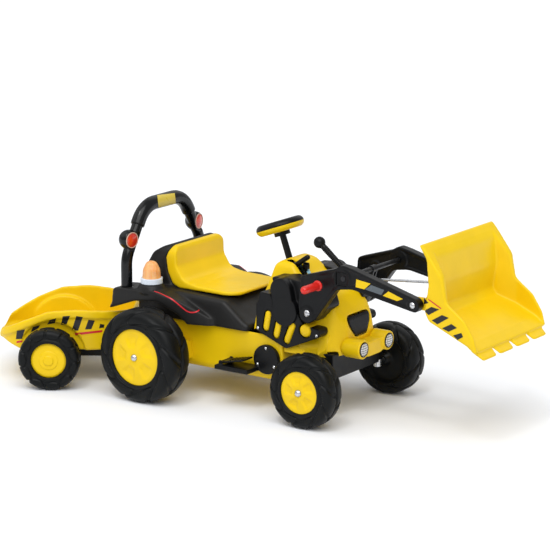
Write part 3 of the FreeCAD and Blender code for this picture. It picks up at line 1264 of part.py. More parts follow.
arm = arm.cut([
    cross_rod(arm_pivot.x, arm_pivot.z, -CHASSIS_WIDTH, 0, ARM_BOLT_RADIUS),
    cross_rod(elbow.x, elbow.z, -CHASSIS_WIDTH, 0, ELBOW_SHAFT_RADIUS + RUN_CLEARANCE),
    cross_rod(bucket_pin.x, bucket_pin.z, -CHASSIS_WIDTH, 0, BUCKET_BOLT_RADIUS),
    block(
        elbow.x - recess, elbow.x + recess, -arm_face - CUT_OVERRUN, -arm_face + ARM_RECESS_DEPTH,
        elbow.z - recess, elbow.z + recess,
    ),
]).removeSplitter()
right_loader_arm = arm
left_loader_arm = mirrored(arm)


def pivot_bolt(spot, radius, head_radius, inner_y):
    head = facing(domed(head_radius, BOLT_HEAD_HEIGHT), -LEFT, vec(spot.x, -arm_face, spot.z))
    return head.fuse(cross_rod(spot.x, spot.z, -arm_face, -inner_y, radius))


lug_outer = arm_inner - PART_CLEARANCE
lug_inner = lug_outer - BUCKET_LUG_THICKNESS
loader_bolts = Part.makeCompound([
    both(pivot_bolt(arm_pivot, ARM_BOLT_RADIUS, ARM_BOLT_HEAD_RADIUS, arm_inner - BOLT_GRIP)),
    both(pivot_bolt(bucket_pin, BUCKET_BOLT_RADIUS, BUCKET_BOLT_HEAD_RADIUS, lug_inner)),
])
handle_tip = -arm_face - HANDLE_LENGTH
lift_handle = cross_rod(handle_at.x, handle_at.z, handle_tip, -arm_face, HANDLE_RADIUS).fuse([
    cross_rod(
        handle_at.x, handle_at.z, -arm_face - HANDLE_COLLAR_HEIGHT, -arm_face, HANDLE_COLLAR_RADIUS
    ),
    Part.makeSphere(HANDLE_RADIUS, vec(handle_at.x, handle_tip, handle_at.z)),
]).removeSplitter()

# Tilt linkage: crank below the elbow, rod, lug above the bucket pins, hand lever
straight = (bucket_pin - elbow).normalize()
square = vec(-straight.z, 0, straight.x)
crank_at_mid = elbow - square * TILT_CRANK_RADIUS
lug_at_mid = bucket_pin + square * TILT_CRANK_RADIUS
rod_back = turn_about_y(crank_at_mid, elbow, -TILT_REST_LEAN)
rod_front = turn_about_y(lug_at_mid, bucket_pin, TILT_REST_LEAN)
eye_half = TILT_EYE_THICKNESS / 2
fork_inner = eye_half + PART_CLEARANCE
fork_outer = fork_inner + TILT_FORK_THICKNESS
shaft_end = arm_face - ARM_RECESS_DEPTH
cheeks = link(elbow, rod_back, TILT_EYE_RADIUS, fork_inner, fork_outer)
elbow_shaft = cross_rod(elbow.x, elbow.z, -shaft_end, shaft_end, ELBOW_SHAFT_RADIUS).fuse([
    cheeks, mirrored(cheeks), cross_rod(rod_back.x, rod_back.z, -fork_outer, fork_outer, TILT_PIN_RADIUS),
    cross_rod(elbow.x, elbow.z, -fork_outer, fork_outer, TILT_EYE_RADIUS),
]).removeSplitter()
lever_lean = math.radians(LEVER_ANGLE)
lever_run = vec(math.cos(lever_lean), 0, math.sin(lever_lean))
lever_foot = vec(elbow.x, -lever_y, elbow.z)
collar_half = LEVER_COLLAR_WIDTH / 2
tilt_lever = facing(
    Part.makeCone(LEVER_FOOT_RADIUS, LEVER_NECK_RADIUS, LEVER_LENGTH).fuse(
        Part.makeSphere(LEVER_BALL_RADIUS, UP * LEVER_LENGTH)
    ), lever_run, lever_foot,
).fuse(cross_rod(
    elbow.x, elbow.z, -lever_y - collar_half, -lever_y + collar_half, LEVER_COLLAR_RADIUS
)).cut(cross_rod(elbow.x, elbow.z, -CHASSIS_WIDTH, 0, ELBOW_SHAFT_RADIUS))
slot_half = TILT_SLOT_TRAVEL / 2
slot_low = rod_front - square * slot_half
slot_high = rod_front + square * slot_half
tilt_rod = rod(rod_back, rod_front, TILT_ROD_RADIUS).fuse([
    cross_rod(rod_back.x, rod_back.z, -eye_half, eye_half, TILT_EYE_RADIUS),
    link(slot_low, slot_high, TILT_EYE_RADIUS, -eye_half, eye_half),
]).cut([
    cross_rod(rod_back.x, rod_back.z, -CHASSIS_WIDTH, CHASSIS_WIDTH, TILT_PIN_RADIUS + RUN_CLEARANCE),
    link(slot_low, slot_high, TILT_PIN_RADIUS + PART_CLEARANCE, -eye_half * 2, eye_half * 2),
]).removeSplitter()

# Bucket: a side outline, hollowed with flared sides, teeth and lugs
half_bucket = BUCKET_WIDTH / 2
bucket = side_slab(
    BUCKET_SIDE_SHARES, bucket_pin.x, bucket_pin.z, BUCKET_SIZE, BUCKET_SIZE, -half_bucket, half_bucket
)
bucket_hollow = side_slab(
    BUCKET_HOLLOW_SHARES, bucket_pin.x, bucket_pin.z, BUCKET_SIZE, BUCKET_SIZE,
    -half_bucket + BUCKET_WALL, half_bucket - BUCKET_WALL,
).common(plan_slab(
    BUCKET_FLARE_SHARES, bucket_pin.x, 0, BUCKET_SIZE, BUCKET_WIDTH, 0, bucket_pin.z * 2
))
bucket = bucket.cut(bucket_hollow)
tooth_pitch = (BUCKET_WIDTH - BUCKET_WALL * 2) / TOOTH_COUNT
tooth_start = bucket_pin + vec(TOOTH_START_SHARES[0], 0, TOOTH_START_SHARES[1]) * BUCKET_SIZE
tooth_root = tooth_pitch * TOOTH_ROOT_SHARE / 2
tooth_tip = tooth_pitch * TOOTH_TIP_SHARE / 2
teeth = []
for i in range(TOOTH_COUNT):
    y = tooth_pitch * (i - (TOOTH_COUNT - 1) / 2)
    corners = [
        vec(-TOOTH_THICKNESS, y - tooth_root, 0), vec(TOOTH_LENGTH, y - tooth_tip, 0),
        vec(TOOTH_LENGTH, y + tooth_tip, 0), vec(-TOOTH_THICKNESS, y + tooth_root, 0),
    ]
    tooth = rounded_face(corners, [0, TOOTH_THICKNESS, TOOTH_THICKNESS, 0]).extrude(UP * -TOOTH_THICKNESS)
    tooth.rotate(ORIGIN, LEFT, TOOTH_LEAN)
    teeth.append(moved(tooth, tooth_start.x, 0, tooth_start.z))
lug_root = bucket_pin + ALONG * BUCKET_LUG_LENGTH
lug = link(bucket_pin, lug_root, BUCKET_LUG_RADIUS, -lug_outer, -lug_inner)
tilt_root = rod_front + ALONG * BUCKET_LUG_LENGTH
tilt_lug = link(rod_front, tilt_root, TILT_LUG_RADIUS, fork_inner, fork_inner + TILT_LUG_THICKNESS)
lugs = Part.makeCompound([both(lug), both(tilt_lug)]).Solids
lugs = [piece.cut(bucket_hollow) for piece in lugs]
bucket = bucket.fuse(lugs + teeth + [
    cross_rod(
        rod_front.x, rod_front.z, -fork_inner - TILT_LUG_THICKNESS, fork_inner + TILT_LUG_THICKNESS,
        TILT_PIN_RADIUS,
    ),
]).cut(
    cross_rod(bucket_pin.x, bucket_pin.z, -CHASSIS_WIDTH, CHASSIS_WIDTH, BUCKET_BOLT_RADIUS + RUN_CLEARANCE)
)
bucket = biggest(bucket.removeSplitter())

# Final drive: a gear fixed to the right rear wheel, a pinion on the motor, a housing
def gear_face(teeth, thin):
    """Involute teeth about the Y axis, thinned at the pitch circle for play."""
    pitch = GEAR_MODULE * teeth / 2
    base = pitch * math.cos(math.radians(PRESSURE_ANGLE))
    tip = pitch + GEAR_MODULE
    root = pitch - GEAR_MODULE * GEAR_ROOT_SHARE
    inv = math.tan(math.radians(PRESSURE_ANGLE)) - math.radians(PRESSURE_ANGLE)
    half = math.pi / (2 * teeth) - thin / (2 * pitch)
    flank = []
    start = max(base, root)
    for i in range(FLANK_STEPS + 1):
        radius = start + (tip - start) * i / FLANK_STEPS
        roll = math.sqrt(max(0, (radius / base) ** 2 - 1))
        flank.append((radius, half + inv - (roll - math.atan(roll))))
    if root < base:
        flank.insert(0, (root, flank[0][1]))
    spots = []
    for i in range(teeth):
        middle = 2 * math.pi * i / teeth
        spots += [(r, middle - a) for r, a in flank]
        spots += [(r, middle + a) for r, a in reversed(flank)]
    corners = [vec(r * math.cos(a), 0, r * math.sin(a)) for r, a in spots]
    return Part.Face(Part.makePolygon(corners + [corners[0]]))


gear_back = gear_face_y - GEAR_WIDTH
inner_face = REAR_TRACK / 2 - REAR_TYRE_WIDTH
gear = gear_face(GEAR_TEETH, GEAR_BACKLASH / 2).extrude(LEFT * GEAR_WIDTH)
drive_gear = moved(gear, 0, -gear_face_y, rear_axle_z).fuse(
    cross_rod(0, rear_axle_z, -inner_face, -gear_back, DRIVE_SLEEVE_RADIUS)
).cut(cross_rod(0, rear_axle_z, -CHASSIS_WIDTH, 0, AXLE_RADIUS + RUN_CLEARANCE)).removeSplitter()
pinion = gear_face(PINION_TEETH, GEAR_BACKLASH / 2).extrude(LEFT * PINION_WIDTH)
pinion.rotate(ORIGIN, LEFT, FULL_TURN / 2 / PINION_TEETH + FULL_TURN / 2)
pinion_face = gear_face_y + (PINION_WIDTH - GEAR_WIDTH) / 2
motor_face = chassis_side - CHASSIS_WALL
motor_pinion = moved(pinion, gear_reach, -pinion_face, rear_axle_z).fuse(
    cross_rod(gear_reach, rear_axle_z, -pinion_face, -motor_face + MOTOR_SHAFT_DEPTH, MOTOR_SHAFT_RADIUS)
).removeSplitter()
gear_motor = cross_rod(gear_reach, rear_axle_z, -motor_face, -motor_face + MOTOR_LENGTH, MOTOR_RADIUS).cut(
    cross_rod(
        gear_reach, rear_axle_z, -CHASSIS_WIDTH, -motor_face + MOTOR_SHAFT_DEPTH + PART_CLEARANCE,
        MOTOR_SHAFT_RADIUS + RUN_CLEARANCE,
    )
)
gear_tip = GEAR_MODULE * (GEAR_TEETH / 2 + 1)
pinion_tip = GEAR_MODULE * (PINION_TEETH / 2 + 1)
case_radius = gear_tip + GEARBOX_MARGIN
case_back = -chassis_side
case_face = -chassis_side - GEARBOX_DEPTH


def case_block(inset, y_from, y_to):
    radius = case_radius - inset
    nose = gear_reach + pinion_tip + GEARBOX_MARGIN - inset
    return cross_rod(0, rear_axle_z, y_from, y_to, radius).fuse(
        block(0, nose, y_from, y_to, rear_axle_z - radius / 2, rear_axle_z + radius / 2)
    ).removeSplitter()


gearbox_housing = case_block(0, case_face, case_back).cut([
    case_block(GEARBOX_WALL, case_face + GEARBOX_WALL, case_back + CUT_OVERRUN),
    cross_rod(0, rear_axle_z, case_face - CUT_OVERRUN, case_back, DRIVE_SLEEVE_RADIUS + PART_CLEARANCE),
])

# Battery on the chassis floor and the charge socket in the left wall
floor_z = GROUND_CLEARANCE + CHASSIS_WALL
battery = block(
    BATTERY_X, BATTERY_X + BATTERY_LENGTH, -BATTERY_WIDTH / 2, BATTERY_WIDTH / 2,
    floor_z, floor_z + BATTERY_HEIGHT,
)
terminals = []
for side in (-1, 1):
    y = side * TERMINAL_SPACING / 2
    terminals.append(block(
        BATTERY_X + TERMINAL_SIZE, BATTERY_X + TERMINAL_SIZE * 2,
        y - TERMINAL_SIZE / 2, y + TERMINAL_SIZE / 2,
        floor_z + BATTERY_HEIGHT, floor_z + BATTERY_HEIGHT + TERMINAL_SIZE,
    ))
battery = battery.fuse(terminals)
socket_face = chassis_side + SOCKET_FLANGE_THICKNESS
charge_socket = cross_rod(SOCKET_X, SOCKET_Z, chassis_side, socket_face, SOCKET_FLANGE_RADIUS).fuse(
    cross_rod(SOCKET_X, SOCKET_Z, socket_face - SOCKET_BODY_LENGTH, socket_face, SOCKET_BODY_RADIUS)
).cut(
    cross_rod(
        SOCKET_X, SOCKET_Z, socket_face - SOCKET_BORE_DEPTH, socket_face + CUT_OVERRUN, SOCKET_BORE_RADIUS
    )
).removeSplitter()

# Footrests with the round covers, and the accelerator pedal on the right one
rest_outer = chassis_side + FOOTREST_REACH
disc_face = chassis_side + FOOT_DISC_THICKNESS
rest_top = FOOTREST_Z + FOOTREST_THICKNESS
foot_screws = []
for angle in FOOT_SCREW_ANGLES:
    lean = math.radians(angle)
    reach = FOOT_DISC_RADIUS * FOOT_SCREW_SHARE
    foot_screws.append(vec(foot_disc_x + reach * math.cos(lean), 0, FOOT_DISC_Z + reach * math.sin(lean)))
footrest = block(
    footrest_x, footrest_x + FOOTREST_LENGTH, -rest_outer, -chassis_side, FOOTREST_Z, rest_top
).fuse(cross_rod(foot_disc_x, FOOT_DISC_Z, -disc_face, -chassis_side, FOOT_DISC_RADIUS))
footrest = footrest.cut([screw_hole(p.x, -disc_face, p.z, -LEFT) for p in foot_screws]).removeSplitter()
pedal_x = footrest_x + PEDAL_SET_IN + PEDAL_EAR_RADIUS
pedal_z = rest_top + PEDAL_PIN_RISE
pedal_y = -chassis_side - FOOTREST_REACH / 2
ear_inner = PEDAL_WIDTH / 2 + PART_CLEARANCE
ears = []
for side in (-1, 1):
    inner = pedal_y + side * ear_inner
    outer = inner + side * PEDAL_EAR_THICKNESS
    ear = cross_rod(pedal_x, pedal_z, min(inner, outer), max(inner, outer), PEDAL_EAR_RADIUS)
    foot = block(
        pedal_x - PEDAL_EAR_RADIUS, pedal_x + PEDAL_EAR_RADIUS, min(inner, outer), max(inner, outer),
        rest_top - PEDAL_PIN_RADIUS, pedal_z,
    )
    ears += [ear, foot]
pedal_bore = cross_rod(pedal_x, pedal_z, -CHASSIS_WIDTH, 0, PEDAL_PIN_RADIUS + RUN_CLEARANCE)
right_footrest = footrest.fuse(ears).cut(pedal_bore).removeSplitter()
footrests = Part.makeCompound([right_footrest, mirrored(footrest)])
pedal_plate = block(
    pedal_x, pedal_x + PEDAL_LENGTH, pedal_y - PEDAL_WIDTH / 2, pedal_y + PEDAL_WIDTH / 2,
    pedal_z - PEDAL_THICKNESS / 2, pedal_z + PEDAL_THICKNESS / 2,
).fuse([
    cross_rod(
        pedal_x, pedal_z, pedal_y - PEDAL_WIDTH / 2, pedal_y + PEDAL_WIDTH / 2, PEDAL_BARREL_RADIUS
    ),
    cross_rod(
        pedal_x, pedal_z, pedal_y - ear_inner - PEDAL_PIN_LENGTH, pedal_y + ear_inner + PEDAL_PIN_LENGTH,
        PEDAL_PIN_RADIUS,
    ),
]).removeSplitter()
pedal_plate.rotate(vec(pedal_x, 0, pedal_z), LEFT, -PEDAL_TILT)
accelerator_pedal = pedal_plate

# Gear lever in a slot of the cowl, and the key knob
lever_points = [
    vec(gear_lever_x + GEAR_LEVER_REACH * u, GEAR_LEVER_Y, GEAR_LEVER_Z + GEAR_LEVER_RISE * w)
    for u, w in GEAR_LEVER_SHARES
]
gear_pin_half = GEAR_PIN_LENGTH / 2
gear_lever = pipe(lever_points, [0, GEAR_LEVER_BEND, GEAR_LEVER_BEND, 0], GEAR_LEVER_RADIUS).fuse([
    Part.makeSphere(GEAR_LEVER_RADIUS, lever_points[-1]),
    Part.makeSphere(GEAR_LEVER_RADIUS, lever_points[0]),
    cross_rod(
        gear_lever_x, GEAR_LEVER_Z, GEAR_LEVER_Y - gear_pin_half, GEAR_LEVER_Y + gear_pin_half,
        GEAR_PIN_RADIUS,
    ),
])
gear_slot = block(
    gear_lever_x - GEAR_SLOT_BEHIND, gear_lever_x + GEAR_SLOT_AHEAD,
    GEAR_LEVER_Y - GEAR_SLOT_WIDTH / 2, GEAR_LEVER_Y + GEAR_SLOT_WIDTH / 2,
    GEAR_LEVER_Z, chassis_top * 2,
)
gear_ears = []
for side in (-1, 1):
    inner = GEAR_LEVER_Y + side * (gear_pin_half - GEAR_EAR_THICKNESS)
    outer = GEAR_LEVER_Y + side * gear_pin_half
    ear = block(
        gear_lever_x - GEAR_EAR_RADIUS, gear_lever_x + GEAR_EAR_RADIUS,
        min(inner, outer), max(inner, outer), GEAR_LEVER_Z - GEAR_EAR_RADIUS, chassis_top * 2,
    )
    gear_ears.append(ear.common(hood_outer))
gear_bore = cross_rod(
    gear_lever_x, GEAR_LEVER_Z, GEAR_LEVER_Y - GEAR_PIN_LENGTH, GEAR_LEVER_Y + GEAR_PIN_LENGTH,
    GEAR_PIN_RADIUS + RUN_CLEARANCE,
)
cowl_line = hood_outer.common(Part.makeLine(
    vec(key_x, KEY_Y, chassis_top + CUT_OVERRUN), vec(key_x, KEY_Y, chassis_top * 2)
))
key_z = cowl_line.BoundBox.ZMax
ignition_key = post(key_x, KEY_Y, key_z + KEY_LIFT, key_z + KEY_HEIGHT, KEY_RADIUS).fuse([
    post(key_x, KEY_Y, key_z - KEY_STEM_LENGTH, key_z + KEY_HEIGHT, KEY_STEM_RADIUS),
    block(
        key_x - KEY_RADIUS, key_x + KEY_RADIUS, KEY_Y - KEY_GRIP_WIDTH / 2, KEY_Y + KEY_GRIP_WIDTH / 2,
        key_z + KEY_HEIGHT, key_z + KEY_HEIGHT + KEY_GRIP_HEIGHT,
    ),
]).removeSplitter()
key_bore = post(
    key_x, KEY_Y, key_z - KEY_STEM_LENGTH * 2, key_z + CUT_OVERRUN, KEY_STEM_RADIUS + RUN_CLEARANCE
)
key_relief = post(key_x, KEY_Y, key_z, key_z + CUT_OVERRUN * 2, KEY_RADIUS + PART_CLEARANCE)

# Hood as moulded: wall, panel inserts and lever ears, less its openings
hood = hood_wall.fuse(inserts + [mirrored(i) for i in inserts] + gear_ears)
hood = hood.cut([
    hood_floor, grille_block, shaft_bore, sleeve_bore, gear_slot, gear_bore, key_bore, key_relief,
    front_axle_beam, tub_block(0),
])
hood = biggest(hood)

body_screws = Part.makeCompound(
    [both(screw(p.x, -panel_face, p.z, -LEFT)) for p in panel_screws]
    + [both(screw(p.x, -disc_face, p.z, -LEFT)) for p in foot_screws]
)

# Hitch bracket with its pin on the back of the chassis
drawbar_z = TUB_FLOOR_Z - DRAWBAR_HEIGHT * DRAWBAR_BED_SHARE
eye_low = drawbar_z + DRAWBAR_HEIGHT * DRAWBAR_EYE_SHARE
plate_top = eye_low - PART_CLEARANCE
eye_high = drawbar_z + DRAWBAR_HEIGHT
pin_top = eye_high + HITCH_PIN_RISE
hitch_bracket = block(
    HITCH_X, -CHASSIS_TAIL, -HITCH_PLATE_WIDTH / 2, HITCH_PLATE_WIDTH / 2,
    plate_top - HITCH_PLATE_THICKNESS, plate_top,
).fuse([
    post(HITCH_X, 0, plate_top - HITCH_PLATE_THICKNESS, plate_top, HITCH_PLATE_WIDTH / 2),
    block(
        -CHASSIS_TAIL - HITCH_FLANGE_THICKNESS, -CHASSIS_TAIL,
        -HITCH_FLANGE_WIDTH / 2, HITCH_FLANGE_WIDTH / 2,
        plate_top - HITCH_PLATE_THICKNESS, plate_top - HITCH_PLATE_THICKNESS + HITCH_FLANGE_HEIGHT,
    ),
    post(HITCH_X, 0, plate_top, pin_top, HITCH_PIN_RADIUS),
    post(HITCH_X, 0, eye_high + PART_CLEARANCE * 2, eye_high + HITCH_CAP_HEIGHT, HITCH_CAP_RADIUS),
]).removeSplitter()

# Trailer, built about the hitch pin and then swung to its yaw
def tub_plan(grow, z_from, z_to):
    """The rounded boat plan of the tub, widened all round by a margin."""
    length = TUB_LENGTH + grow * 2
    return plan_slab(TUB_PLAN_SHARES, -TUB_TAIL - grow, 0, length, TUB_WIDTH + grow * 2, z_from, z_to)


ceiling = TUB_FLOOR_Z + TUB_HEIGHT * 2
tub_side = side_slab(
    TUB_SIDE_SHARES, -TUB_TAIL, TUB_FLOOR_Z, TUB_LENGTH, TUB_HEIGHT, -TUB_WIDTH, TUB_WIDTH
)
lip_side = tub_side.cut(moved(tub_side, 0, 0, -TUB_LIP_HEIGHT))
tub_outer = tub_side.common(tub_plan(0, 0, ceiling))
tub_lip = biggest(lip_side.common(tub_plan(TUB_LIP_REACH, 0, ceiling)))
arch_inner = TUB_WIDTH / 2 - ARCH_DEPTH
arches = []
covers = []
for side in (-1, 1):
    reach = side * TUB_WIDTH
    start = side * arch_inner
    cover = start - side * TUB_WALL
    arches.append(cross_rod(
        -TRAILER_AXLE_BACK, TRAILER_TYRE_RADIUS, min(start, reach), max(start, reach), ARCH_RADIUS
    ))
    covers.append(cross_rod(
        -TRAILER_AXLE_BACK, TRAILER_TYRE_RADIUS, min(cover, reach), max(cover, reach),
        ARCH_RADIUS + TUB_WALL,
    ))
tub_hollow = side_slab(
    TUB_HOLLOW_SHARES, -TUB_TAIL, TUB_FLOOR_Z, TUB_LENGTH, TUB_HEIGHT, -TUB_WIDTH, TUB_WIDTH
).common(tub_plan(-TUB_WALL, 0, ceiling)).cut(covers)
trailer_tub = biggest(tub_outer.fuse(tub_lip).cut(arches + [tub_hollow]))
drawbar_side = DRAWBAR_WIDTH / 2
trailer_drawbar = side_slab(
    DRAWBAR_SHARES, -DRAWBAR_TAIL, drawbar_z, DRAWBAR_LENGTH, DRAWBAR_HEIGHT, -drawbar_side, drawbar_side
).cut([
    post(0, 0, 0, ceiling, HITCH_PIN_RADIUS + RUN_CLEARANCE),
    cross_rod(-TRAILER_AXLE_BACK, TRAILER_TYRE_RADIUS, -TUB_WIDTH, TUB_WIDTH, AXLE_RADIUS + SEAT_CLEARANCE),
])
axle_inset = TRAILER_TRACK / 2 - TRAILER_TYRE_WIDTH * HUB_RECESS_SHARE - PART_CLEARANCE
trailer_axle = cross_rod(-TRAILER_AXLE_BACK, TRAILER_TYRE_RADIUS, -axle_inset, axle_inset, AXLE_RADIUS)


def towed(shape):
    copy = shape.copy()
    copy.rotate(ORIGIN, UP, TRAILER_YAW)
    copy.translate(vec(HITCH_X, 0, 0))
    return copy


nodes = {
    "lower_chassis": lower_chassis,
    "hood": hood,
    "rear_shell": rear_shell,
    "seat_pan": seat_pan,
    "front_grille": front_grille,
    "front_bumper": front_bumper,
    "headlight_lenses": headlight_lenses,
    "engine_panels": engine_panels,
    "loader_towers": loader_towers,
    "footrests": footrests,
    "front_axle_beam": front_axle_beam,
    "rear_axle": rear_axle,
    "gearbox_housing": gearbox_housing,
    "gear_motor": gear_motor,
    "battery": battery,
    "roll_bar_legs": roll_bar_legs,
    "roll_bar_top": roll_bar_top,
    "lamp_lenses": lamp_lenses,
    "beacon_base": beacon_base,
    "beacon_dome": beacon_dome,
    "charge_socket": charge_socket,
    "hitch_bracket": hitch_bracket,
    "body_screws": body_screws,
    "steering_rim_upper": steering_rim_upper,
    "steering_rim_lower": steering_rim_lower,
    "steering_hub": steering_hub,
    "steering_shaft": steering_shaft,
    "column_sleeve": column_sleeve,
    "horn_button": horn_button,
    "right_knuckle": right_knuckle,
    "left_knuckle": left_knuckle,
    "tie_rod": tie_rod,
    "rear_right_tyre": rear[0],
    "rear_right_hub": rear[1],
    "rear_left_tyre": rear[2],
    "rear_left_hub": rear[3],
    "front_right_tyre": front[0],
    "front_right_hub": front[1],
    "front_left_tyre": front[2],
    "front_left_hub": front[3],
    "drive_gear": drive_gear,
    "motor_pinion": motor_pinion,
    "right_loader_arm": right_loader_arm,
    "left_loader_arm": left_loader_arm,
    "elbow_shaft": elbow_shaft,
    "tilt_lever": tilt_lever,
    "tilt_rod": tilt_rod,
    "bucket": bucket,
    "lift_handle": lift_handle,
    "loader_bolts": loader_bolts,
    "trailer_tub": towed(trailer_tub),
    "trailer_drawbar": towed(trailer_drawbar),
    "trailer_axle": towed(trailer_axle),
    "trailer_right_tyre": towed(carried[0]),
    "trailer_right_hub": towed(carried[1]),
    "trailer_left_tyre": towed(carried[2]),
    "trailer_left_hub": towed(carried[3]),
    "accelerator_pedal": accelerator_pedal,
    "gear_lever": gear_lever,
    "ignition_key": ignition_key,
}

# The finished frame: centred over the bounding box, floor at zero
whole = Part.makeCompound(list(nodes.values())).optimalBoundingBox(False)
shift = vec(-whole.Center.x, -whole.Center.y, -whole.ZMin)
for name, shape in nodes.items():
    shape.translate(shift)
    shape.exportStep("parts/" + name + ".step")
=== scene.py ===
import bpy
import json
import math
from mathutils import Matrix, Vector
from mathutils.bvhtree import BVHTree


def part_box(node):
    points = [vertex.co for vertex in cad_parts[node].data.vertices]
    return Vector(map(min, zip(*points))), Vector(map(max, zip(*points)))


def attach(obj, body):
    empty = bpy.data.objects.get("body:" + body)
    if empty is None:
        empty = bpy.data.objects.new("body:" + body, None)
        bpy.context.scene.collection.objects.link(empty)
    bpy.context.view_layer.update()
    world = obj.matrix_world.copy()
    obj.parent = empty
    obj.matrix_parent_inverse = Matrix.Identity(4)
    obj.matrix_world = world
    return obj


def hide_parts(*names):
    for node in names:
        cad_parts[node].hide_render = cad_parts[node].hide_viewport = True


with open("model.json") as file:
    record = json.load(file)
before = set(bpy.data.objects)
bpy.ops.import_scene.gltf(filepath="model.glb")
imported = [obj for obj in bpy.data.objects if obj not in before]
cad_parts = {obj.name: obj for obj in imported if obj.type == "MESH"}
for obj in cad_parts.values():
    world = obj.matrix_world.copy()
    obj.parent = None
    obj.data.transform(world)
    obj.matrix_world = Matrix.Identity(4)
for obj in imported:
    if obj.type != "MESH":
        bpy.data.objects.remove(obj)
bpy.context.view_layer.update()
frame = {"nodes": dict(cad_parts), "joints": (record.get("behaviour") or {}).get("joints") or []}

# Studio: a pale seamless floor under wide soft light, and the camera of the photograph, a long lens
# that looks a little down on the front right corner of the toy. Places are in millimetres ahead of
# the rear axle, left of the middle and up from the floor.
MM = 0.001
axle_low, axle_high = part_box("rear_axle")
AXLE_X = (axle_low.x + axle_high.x) / 2
MIDDLE_Y = (axle_low.y + axle_high.y) / 2
PHOTO_SIZE = 550
PHOTO_FOCAL = 2505.2
CAMERA_SPOT = (4029.5, -5346.4, 1893.4)
CAMERA_AIM = (299.5, -65.5, 352.2)
SENSOR = 36.0
FLOOR_SIZE = 400.0
FLOOR_COLOUR = (0.925, 0.94, 0.97, 1)
FLOOR_CLOUD_SHARE = 0.99
# Name, direction of the lamp, strength, and the angle it fills
SOFT_SUNS = (
    ("key", (0.55, -0.75, 1.25), 1.85, 55.0),
    ("fill", (-0.7, -0.35, 0.9), 0.55, 60.0),
    ("rim", (-0.2, 0.9, 0.8), 0.25, 50.0),
    ("glint", (0.1, -0.55, 1.0), 0.30, 9.0),
)
AMBIENT = 0.48
NOISE_LOW = 0.3
NOISE_HIGH = 0.7


def at(x, y, z):
    """A place on the toy in the row frame, from millimetres."""
    return Vector((AXLE_X + x * MM, MIDDLE_Y + y * MM, z * MM))


camera_at = at(*CAMERA_SPOT)
camera_back = (camera_at - at(*CAMERA_AIM)).normalized()
scene = bpy.context.scene
lens = bpy.data.cameras.new("camera")
lens.sensor_width = SENSOR
lens.lens = SENSOR * PHOTO_FOCAL / PHOTO_SIZE
lens.clip_end = FLOOR_SIZE
camera = bpy.data.objects.new("camera", lens)
scene.collection.objects.link(camera)
camera.location = camera_at
camera.rotation_mode = "QUATERNION"
camera.rotation_quaternion = (-camera_back).to_track_quat("-Z", "Y")
scene.camera = camera
scene.view_settings.view_transform = "Standard"

for name, towards, strength, spread in SOFT_SUNS:
    sun = bpy.data.lights.new(name, "SUN")
    sun.energy = strength
    sun.angle = math.radians(spread)
    sun_object = bpy.data.objects.new(name, sun)
    scene.collection.objects.link(sun_object)
    sun_object.rotation_mode = "QUATERNION"
    sun_object.rotation_quaternion = (-Vector(towards)).to_track_quat("-Z", "Y")

world = bpy.data.worlds.new("studio")
world.use_nodes = True
sky = world.node_tree.nodes["Background"]
sky.inputs["Color"].default_value = (1, 1, 1, 1)
sky.inputs["Strength"].default_value = AMBIENT
scene.world = world


def new_material(name):
    """A material with one Principled shader; returns it with its node tree and the shader."""
    material = bpy.data.materials.new(name)
    material.use_nodes = True
    tree = material.node_tree
    return material, tree, tree.nodes["Principled BSDF"]


def grain(tree, scale, detail, stretch=(1, 1, 1)):
    """Noise in the object's own space, in cells per metre."""
    spot = tree.nodes.new("ShaderNodeTexCoord")
    mapping = tree.nodes.new("ShaderNodeMapping")
    mapping.inputs["Scale"].default_value = stretch
    noise = tree.nodes.new("ShaderNodeTexNoise")
    noise.inputs["Scale"].default_value = scale
    noise.inputs["Detail"].default_value = detail
    tree.links.new(spot.outputs["Object"], mapping.inputs["Vector"])
    tree.links.new(mapping.outputs["Vector"], noise.inputs["Vector"])
    return noise


def tinted(tree, factor, dark, light, socket, low=NOISE_LOW, high=NOISE_HIGH):
    """Feeds a colour that follows a factor between two colours into a socket."""
    ramp = tree.nodes.new("ShaderNodeValToRGB")
    ramp.color_ramp.elements[0].position = low
    ramp.color_ramp.elements[1].position = high
    ramp.color_ramp.elements[0].color = dark
    ramp.color_ramp.elements[1].color = light
    tree.links.new(factor, ramp.inputs["Fac"])
    tree.links.new(ramp.outputs["Color"], socket)


def scaled(colour, factor):
    """A colour made darker or lighter by a factor."""
    return tuple(min(1.0, c * factor) for c in colour[:3]) + (1,)


floor_paint, floor_tree, floor_shader = new_material("studio_floor")
tinted(floor_tree, grain(floor_tree, scale=3, detail=4).outputs["Fac"],
       scaled(FLOOR_COLOUR, FLOOR_CLOUD_SHARE), FLOOR_COLOUR, floor_shader.inputs["Base Color"])
floor_shader.inputs["Roughness"].default_value = 0.9
floor_shader.inputs["Specular IOR Level"].default_value = 0.15
half = FLOOR_SIZE / 2
floor_mesh = bpy.data.meshes.new("floor")
floor_mesh.from_pydata(
    [(-half, -half, 0), (half, -half, 0), (half, half, 0), (-half, half, 0)], [], [(0, 1, 2, 3)]
)
floor_mesh.materials.append(floor_paint)
floor = bpy.data.objects.new("floor", floor_mesh)
scene.collection.objects.link(floor)

# Tyres: hollow blow-moulded plastic, black with a low sheen, with broad lugs swept over both
# shoulders and thin grooves between them. Each is one skin turned about the axle, from the
# hub's seat over the tread to the axle hole at the back.
TYRE_COLOUR = (0.0040, 0.0048, 0.0050, 1)
CLOUD_SHARES = (0.96, 1.03)
GLOSS_SPREAD = (0.05, 0.07)
GRAIN_DEPTH = 0.25
RIM_LIP = 13.0
